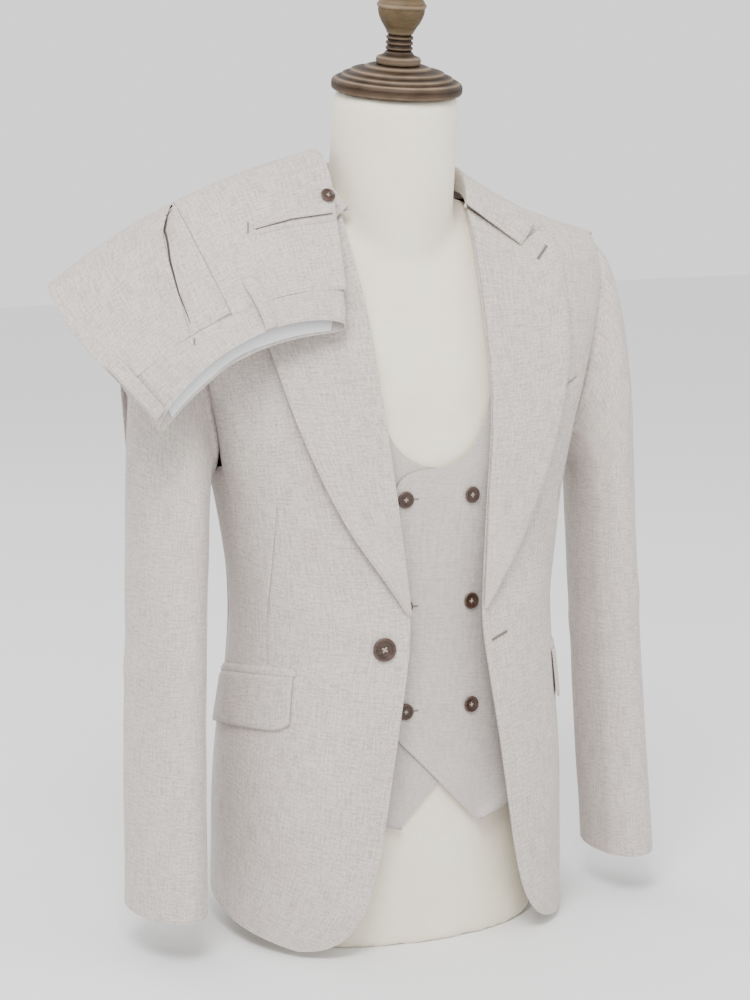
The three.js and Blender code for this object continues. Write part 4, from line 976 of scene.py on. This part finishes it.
# ---------------------------------------------------------------- buttons
# Four-hole buttons of mottled brown horn with a rounded rim and a dished middle, sewn on
# with a cross of fawn thread. The largest closes the jacket, six are on the waistcoat.
HORN = (0.012, 0.006, 0.0045, 1)
HORN_LIGHT = (0.09, 0.048, 0.032, 1)
BUTTON_FACE = (
    (0, -0.5, 0), (0.80, -0.5, 0), (0.94, -0.34, 0.2), (1.0, 0.0, 0.8), (0.97, 0.30, 1), (0.90, 0.47, 1),
    (0.82, 0.50, 0.8), (0.74, 0.42, 0.1), (0.66, 0.24, 0), (0.56, 0.16, 0.35), (0.30, 0.14, 0.5),
    (0, 0.14, 0.5),
)
BUTTON_DEPTH = 0.26
HOLE_SPREAD = 0.19
HOLE_RADIUS = 0.085
STRAND_SIZE = (0.34, 0.032, 0.03, 1)
STRAND_GAP = 0.05
STRAND_LEVEL = 0.055
STRAND_CROSSING = 0.012


def horn_material():
    """Polished brown horn with lighter streaks, most of all round the rim."""
    material = plain_material("horn", Coat_Weight=0.12, Coat_Roughness=0.25, Specular_IOR_Level=0.4)
    tree = material.node_tree
    place = tree.nodes.new("ShaderNodeTexCoord").outputs["Object"]
    stretched = add_node(tree, "ShaderNodeVectorMath", _0=place, _1=(140.0, 140.0, 320.0))
    stretched.operation = "MULTIPLY"
    mottle = add_node(tree, "ShaderNodeTexNoise", Vector=stretched.outputs[0], Scale=1.0, Detail=5.0,
                      Roughness=0.6)
    ring = tree.nodes.new("ShaderNodeAttribute")
    ring.attribute_name = "ring"
    streak = add_node(tree, "ShaderNodeMapRange", Value=mottle.outputs[0], _1=0.35, _2=0.7, _3=0.0, _4=0.55)
    share = maths(tree, "ADD", maths(tree, "MULTIPLY", ring.outputs["Fac"], 0.6), streak.outputs[0])
    rough = add_node(tree, "ShaderNodeMapRange", Value=mottle.outputs[0], _3=0.28, _4=0.5)
    relief = add_node(tree, "ShaderNodeBump", Height=mottle.outputs[0], Strength=0.12, Distance=0.0003)
    finish_with(material, mix_colour(tree, share, HORN, HORN_LIGHT), rough.outputs[0], relief.outputs[0])
    return material


def thread_material(name, colour):
    """Twisted thread, darker between its plies."""
    material = plain_material(name, Sheen_Weight=0.3, Specular_IOR_Level=0.3)
    tree = material.node_tree
    place = tree.nodes.new("ShaderNodeTexCoord").outputs["Object"]
    twist = add_node(tree, "ShaderNodeTexNoise", Vector=place, Scale=2600.0, Detail=2.0)
    darker = tuple(0.72 * part for part in colour[:3]) + (1,)
    rough = add_node(tree, "ShaderNodeMapRange", Value=twist.outputs[0], _3=0.6, _4=0.9)
    relief = add_node(tree, "ShaderNodeBump", Height=twist.outputs[0], Strength=0.4, Distance=0.0002)
    finish_with(material, mix_colour(tree, twist.outputs[0], darker, colour), rough.outputs[0],
                relief.outputs[0])
    return material


horn = horn_material()
fawn_thread = thread_material("fawn_thread", (0.42, 0.33, 0.27, 1))


def button_blank():
    """A horn button of radius 1 that faces up, with its holes drilled."""
    shape = bmesh.new()
    ring = shape.verts.layers.float.new("ring")
    last = None
    for radius, height, tone in BUTTON_FACE:
        vert = shape.verts.new((radius, 0, height * BUTTON_DEPTH))
        vert[ring] = tone
        if last is not None:
            shape.edges.new((last, vert))
        last = vert
    bmesh.ops.spin(shape, geom=shape.verts[:] + shape.edges[:], cent=(0, 0, 0), axis=(0, 0, 1),
                   angle=math.tau, steps=48, use_merge=True)
    bmesh.ops.remove_doubles(shape, verts=shape.verts, dist=WELD)
    bmesh.ops.recalc_face_normals(shape, faces=shape.faces)
    blank = piece_of("button_blank", shape, horn)
    drills = bmesh.new()
    for x, y in ((-1, -1), (-1, 1), (1, 1), (1, -1)):
        bmesh.ops.create_cone(drills, cap_ends=True, segments=16, radius1=HOLE_RADIUS, radius2=HOLE_RADIUS,
                              depth=2, matrix=Matrix.Translation((x * HOLE_SPREAD, y * HOLE_SPREAD, 0)))
    drill = piece_of("button_drill", drills, horn)
    holes = blank.modifiers.new("holes", "BOOLEAN")
    holes.object = drill
    holes.operation = "DIFFERENCE"
    holes.solver = "EXACT"
    settle(blank)
    bpy.data.objects.remove(drill)
    finished = bmesh.new()
    finished.from_mesh(blank.data)
    bpy.data.objects.remove(blank)
    for sign in (-1, 1):
        for aside in (-STRAND_GAP, 0, STRAND_GAP):
            slant = Matrix.Rotation(math.radians(45 * sign), 4, "Z")
            shift = Matrix.Translation((0, aside, STRAND_LEVEL + STRAND_CROSSING * (sign > 0)))
            strand = bmesh.ops.create_uvsphere(finished, u_segments=8, v_segments=10, radius=1,
                                               matrix=slant @ shift @ Matrix.Diagonal(STRAND_SIZE))
            for face in {face for vert in strand["verts"] for face in vert.link_faces}:
                face.material_index = 1
    blank_mesh = bpy.data.meshes.new("button_blank")
    finished.to_mesh(blank_mesh)
    finished.free()
    return blank_mesh


BUTTON_BLANK = button_blank()


def disc_of(node):
    """A round node's middle, the way it faces and its radius."""
    points = np.array([vert.co for vert in frame["nodes"][node].data.vertices])
    middle = (points.min(axis=0) + points.max(axis=0)) / 2
    axes = np.linalg.svd(points - middle)[2]
    facing = Vector(axes[2])
    middle = Vector(middle)
    if facing.dot(middle - body_axis(middle)) < 0:
        facing.negate()
    radius = max((Vector(p) - middle - facing * facing.dot(Vector(p) - middle)).length for p in points)
    return middle, facing, radius


def sew_button(name, node, turn):
    """A button on the place of its node, turned by chance as it was sewn."""
    middle, facing, radius = disc_of(node)
    shape = bmesh.new()
    shape.from_mesh(BUTTON_BLANK)
    stand = facing.to_track_quat("Z", "Y").to_matrix().to_4x4()
    place = Matrix.Translation(middle) @ stand @ Matrix.Rotation(turn, 4, "Z") @ Matrix.Scale(radius, 4)
    bmesh.ops.transform(shape, matrix=place, verts=shape.verts)
    button = piece_of(name, shape, horn, fawn_thread)
    crisp = button.modifiers.new("crisp", "BEVEL")
    crisp.width = radius * 0.02
    crisp.segments = 1
    crisp.limit_method = "ANGLE"
    crisp.angle_limit = math.radians(60)
    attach(button, "root")
    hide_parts(node)


MOST_TURN = 1.5
turns = random.Random(11)
for row in (1, 2, 3):
    for column in ("edge", "inner"):
        sew_button(f"waistcoat_{column}_button_{row}", f"waistcoat_button_{column}_{row}",
                   turns.uniform(0, MOST_TURN))
sew_button("jacket_button", "jacket_front_button", 0.2)
for hand in ("left", "right"):
    sew_button(f"cuff_button_{hand}", f"jacket_cuff_button_{hand}", turns.uniform(0, MOST_TURN))
sew_button("back_pocket_button", "trousers_pocket_button", 0.5)

# ---------------------------------------------------------------- stitching
# Buttonholes are worked in thread round a slit of dark painted shade, bar tacks hold the ends of
# the pockets and a row of lockstitch runs beside the trouser pocket mouth and down the belt loops.
# Lines of dark painted shade lie in the dart and seam ditches, in the back pocket's slit and in the
# slant pocket's gape.
LOCKSTITCH_PITCH = 0.003
LOCKSTITCH = {"length": 0.0023, "thick": 0.0004}
DITCH_PITCH = 0.0015
# Sizes of the drops of dark painted shade along the dart and seam ditches.
DART_SHADE_SIZE = {"length": 0.0024, "thick": 0.00045}
SEAM_SHADE_SIZE = {"length": 0.0024, "thick": 0.0006}
TACK_PITCH = 0.00045
TACK_WIDTH = 0.0022
TACK_THICK = 0.0005
HOLE_PITCH = 0.0007
# Drops of dark painted shade along a buttonhole's slit.
HOLE_SLIT_SHADE = {"length": 0.0016, "thick": 0.0006}
HOLE_RIM = {"length": 0.0017, "thick": 0.0007}
HOLE_RIM_ASIDE = 0.0009
HOLE_END_LENGTH = 0.006
HOLE_END_WIDTH = 0.0026
SLIT_PITCH = 0.0012
SLIT_RISE = 0.0016
# Drops of dark painted shade in the back pocket's slit.
SLIT_SHADE_SIZE = {"length": 0.003, "thick": 0.0011}
LOOK_STEPS = 24

cloth_thread = thread_material("cloth_thread", (0.50, 0.455, 0.43, 1))
# Near-black painted shade, laid in the buttonhole slits, the back pocket's slit and the slant pocket's gape.
painted_slit_shade = thread_material("painted_slit_shade", (0.075, 0.058, 0.050, 1))
tack_thread = thread_material("tack_thread", (0.30, 0.26, 0.24, 1))
# Dark brown painted shade, laid as a line in the ditches of the darts and seams.
painted_ditch_shade = thread_material("painted_ditch_shade", (0.21, 0.18, 0.165, 1))


def spots_along(found, pitch):
    """Evenly spaced places along a run of points and facings, with the way each heads."""
    spots, ahead = [], pitch / 2
    for (place, facing), (after, _) in zip(found[:-1], found[1:]):
        step = (after - place).length
        while ahead < step:
            spots.append((place.lerp(after, ahead / step), facing, (after - place).normalized()))
            ahead += pitch
        ahead -= step
    return spots


def sewn_spots(piece, line, pitch):
    """Places along a line on the shown face of a cloth, with the way each faces and heads."""
    tree = BVHTree.FromObject(piece, bpy.context.evaluated_depsgraph_get())
    found = []
    for (x, z), (far_x, far_z) in zip(line[:-1], line[1:]):
        for step in range(LOOK_STEPS + 1):
            share = step / LOOK_STEPS
            start = Vector((x + (far_x - x) * share, -2, z + (far_z - z) * share))
            place, facing, _, _ = tree.ray_cast(start, Vector((0, 1, 0)))
            if place and (not found or (place - found[-1][0]).length > WELD):
                found.append((place, facing))
    return spots_along(found, pitch)


def grain_row(piece, way, place, pitch):
    """Evenly spaced places along the row of a cloth that is nearest a place on its grain map."""
    mesh = piece.data
    grain = {loop.vertex_index: mesh.uv_layers.active.data[loop.index].uv.copy() for loop in mesh.loops}
    nearest = min((uv[way] for uv in grain.values()), key=lambda value: abs(value - place))
    row = {}
    for index in sorted(grain):
        if abs(grain[index][way] - nearest) < SAME_ROW:
            row.setdefault(round(grain[index][1 - way], 5), mesh.vertices[index])
    return spots_along([(row[step].co.copy(), row[step].normal.copy()) for step in sorted(row)], pitch)


def add_stitch(shape, spot, length, thick, aside=0.0, across=False):
    """A drop of thread that lies along its line, or across it."""
    place, facing, heading = spot
    side = facing.cross(heading).normalized()
    along = side if across else heading
    axes = Matrix((along, facing.cross(along), facing)).transposed().to_4x4()
    middle = Matrix.Translation(place + side * aside + facing * thick * 0.3)
    size = Matrix.Diagonal((length / 2, thick / 2, thick / 2, 1))
    bmesh.ops.create_uvsphere(shape, u_segments=6, v_segments=5, radius=1, matrix=middle @ axes @ size)


def finish_stitches(name, shape, thread):
    """Makes a run of stitches a piece that moves with the suit."""
    stitches = piece_of(name, shape, thread)
    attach(stitches, "root")


def sew(name, spots, thread, **stitch):
    """A run of like stitches, as one piece."""
    run = bmesh.new()
    for spot in spots:
        add_stitch(run, spot, **stitch)
    finish_stitches(name, run, thread)


def bar_tack(name, piece, line, width=TACK_WIDTH):
    """Close stitches laid across a short line, which hold the end of an opening."""
    sew(name, sewn_spots(piece, line, TACK_PITCH), tack_thread, length=width, thick=TACK_THICK, across=True)


def worked_hole(name, piece, line):
    """A slit of dark painted shade with a bead of buttonhole stitch down each side."""
    slit, rim = bmesh.new(), bmesh.new()
    for spot in sewn_spots(piece, line, HOLE_PITCH):
        add_stitch(slit, spot, **HOLE_SLIT_SHADE)
        for aside in (-HOLE_RIM_ASIDE, HOLE_RIM_ASIDE):
            add_stitch(rim, spot, **HOLE_RIM, aside=aside, across=True)
    finish_stitches(f"{name}_slit", slit, painted_slit_shade)
    finish_stitches(f"{name}_rim", rim, tack_thread)


cloths = bpy.data.objects
worked_hole("lapel_buttonhole", cloths["jacket_lapel_facing_left"], ((0.135, 0.655), (0.151, 0.667)))
worked_hole("jacket_buttonhole", cloths["jacket_front_panel_left"], ((0.048, 0.301), (0.067, 0.307)))
for row in (1, 2, 3):
    middle, _, radius = disc_of(f"waistcoat_button_edge_{row}")
    hole_end = middle.x + radius
    bar_tack(f"waistcoat_buttonhole_end_{row}", over_front,
             ((hole_end, middle.z), (hole_end + HOLE_END_LENGTH, middle.z)), width=HOLE_END_WIDTH)
# Lines of dark painted shade in the ditches of the jacket darts and the trousers' side and band seams.
for hand, side in (("left", 1), ("right", -1)):
    dart = [(side * x, z) for x, z in FRONT_DART]
    sew(f"jacket_dart_shade_{hand}", sewn_spots(cloths[f"jacket_front_panel_{hand}"], dart, DITCH_PITCH),
        painted_ditch_shade, **DART_SHADE_SIZE)
sew("trouser_side_seam_shade", grain_row(back_leg, 0, 0.0, DITCH_PITCH), painted_ditch_shade, **SEAM_SHADE_SIZE)
sew("trouser_band_seam_shade", grain_row(waistband, 1, 1.0, DITCH_PITCH), painted_ditch_shade, **SEAM_SHADE_SIZE)

# The mouth of the slant pocket springs open most at its middle. A strip of dark painted shade
# lies in its gape, deepest and widest there.
MOUTH_LINE = (
    (-0.229, 0.711), (-0.235, 0.705), (-0.243, 0.693), (-0.247, 0.668), (-0.247, 0.640), (-0.244, 0.615),
)
MOUTH_STITCH_LINE = (
    (-0.240, 0.704), (-0.252, 0.692), (-0.256, 0.661), (-0.253, 0.635), (-0.250, 0.612),
)
MOUTH_NARROW = 0.0008
MOUTH_SPREAD = 0.0016
MOUTH_SHADE_LENGTH = 0.0034
mouth_shade = bmesh.new()
mouth_spots = sewn_spots(pocket_facing, MOUTH_LINE, SLIT_PITCH)
for step, (place, facing, heading) in enumerate(mouth_spots):
    gape = MOUTH_NARROW + MOUTH_SPREAD * math.sin(math.pi * (step / len(mouth_spots)) ** 0.6)
    add_stitch(mouth_shade, (place - facing * gape * 0.25, facing, heading), MOUTH_SHADE_LENGTH, gape)
finish_stitches("trouser_pocket_mouth_shade", mouth_shade, painted_slit_shade)
sew("pocket_mouth_stitches", sewn_spots(front_leg, MOUTH_STITCH_LINE, LOCKSTITCH_PITCH), cloth_thread,
    **LOCKSTITCH)
bar_tack("pocket_mouth_tack_top", front_leg, ((-0.239, 0.706), (-0.234, 0.708)))
bar_tack("pocket_mouth_tack_band", waistband, ((-0.244, 0.602), (-0.245, 0.596)))

for which in ("outer", "middle"):
    loop = cloths[f"trouser_belt_loop_{which}"]
    width = max(corner.uv.x for corner in loop.data.uv_layers.active.data)
    for edge, share in (("first", 0.12), ("second", 0.88)):
        sew(f"belt_loop_{which}_{edge}_stitches", grain_row(loop, 0, share * width, LOCKSTITCH_PITCH),
            cloth_thread, **LOCKSTITCH)

# Dark painted shade in the slit between the back pocket's jets, lifted to show above them.
BACK_SLIT_LINE = ((-0.166, 0.693), (-0.130, 0.701), (-0.088, 0.705))
slit_spots = [(place + facing * SLIT_RISE, facing, heading)
              for place, facing, heading in sewn_spots(back_leg, BACK_SLIT_LINE, SLIT_PITCH)]
sew("back_pocket_slit_shade", slit_spots, painted_slit_shade, **SLIT_SHADE_SIZE)
bar_tack("back_pocket_tack", back_leg, ((-0.171, 0.700), (-0.174, 0.690)))
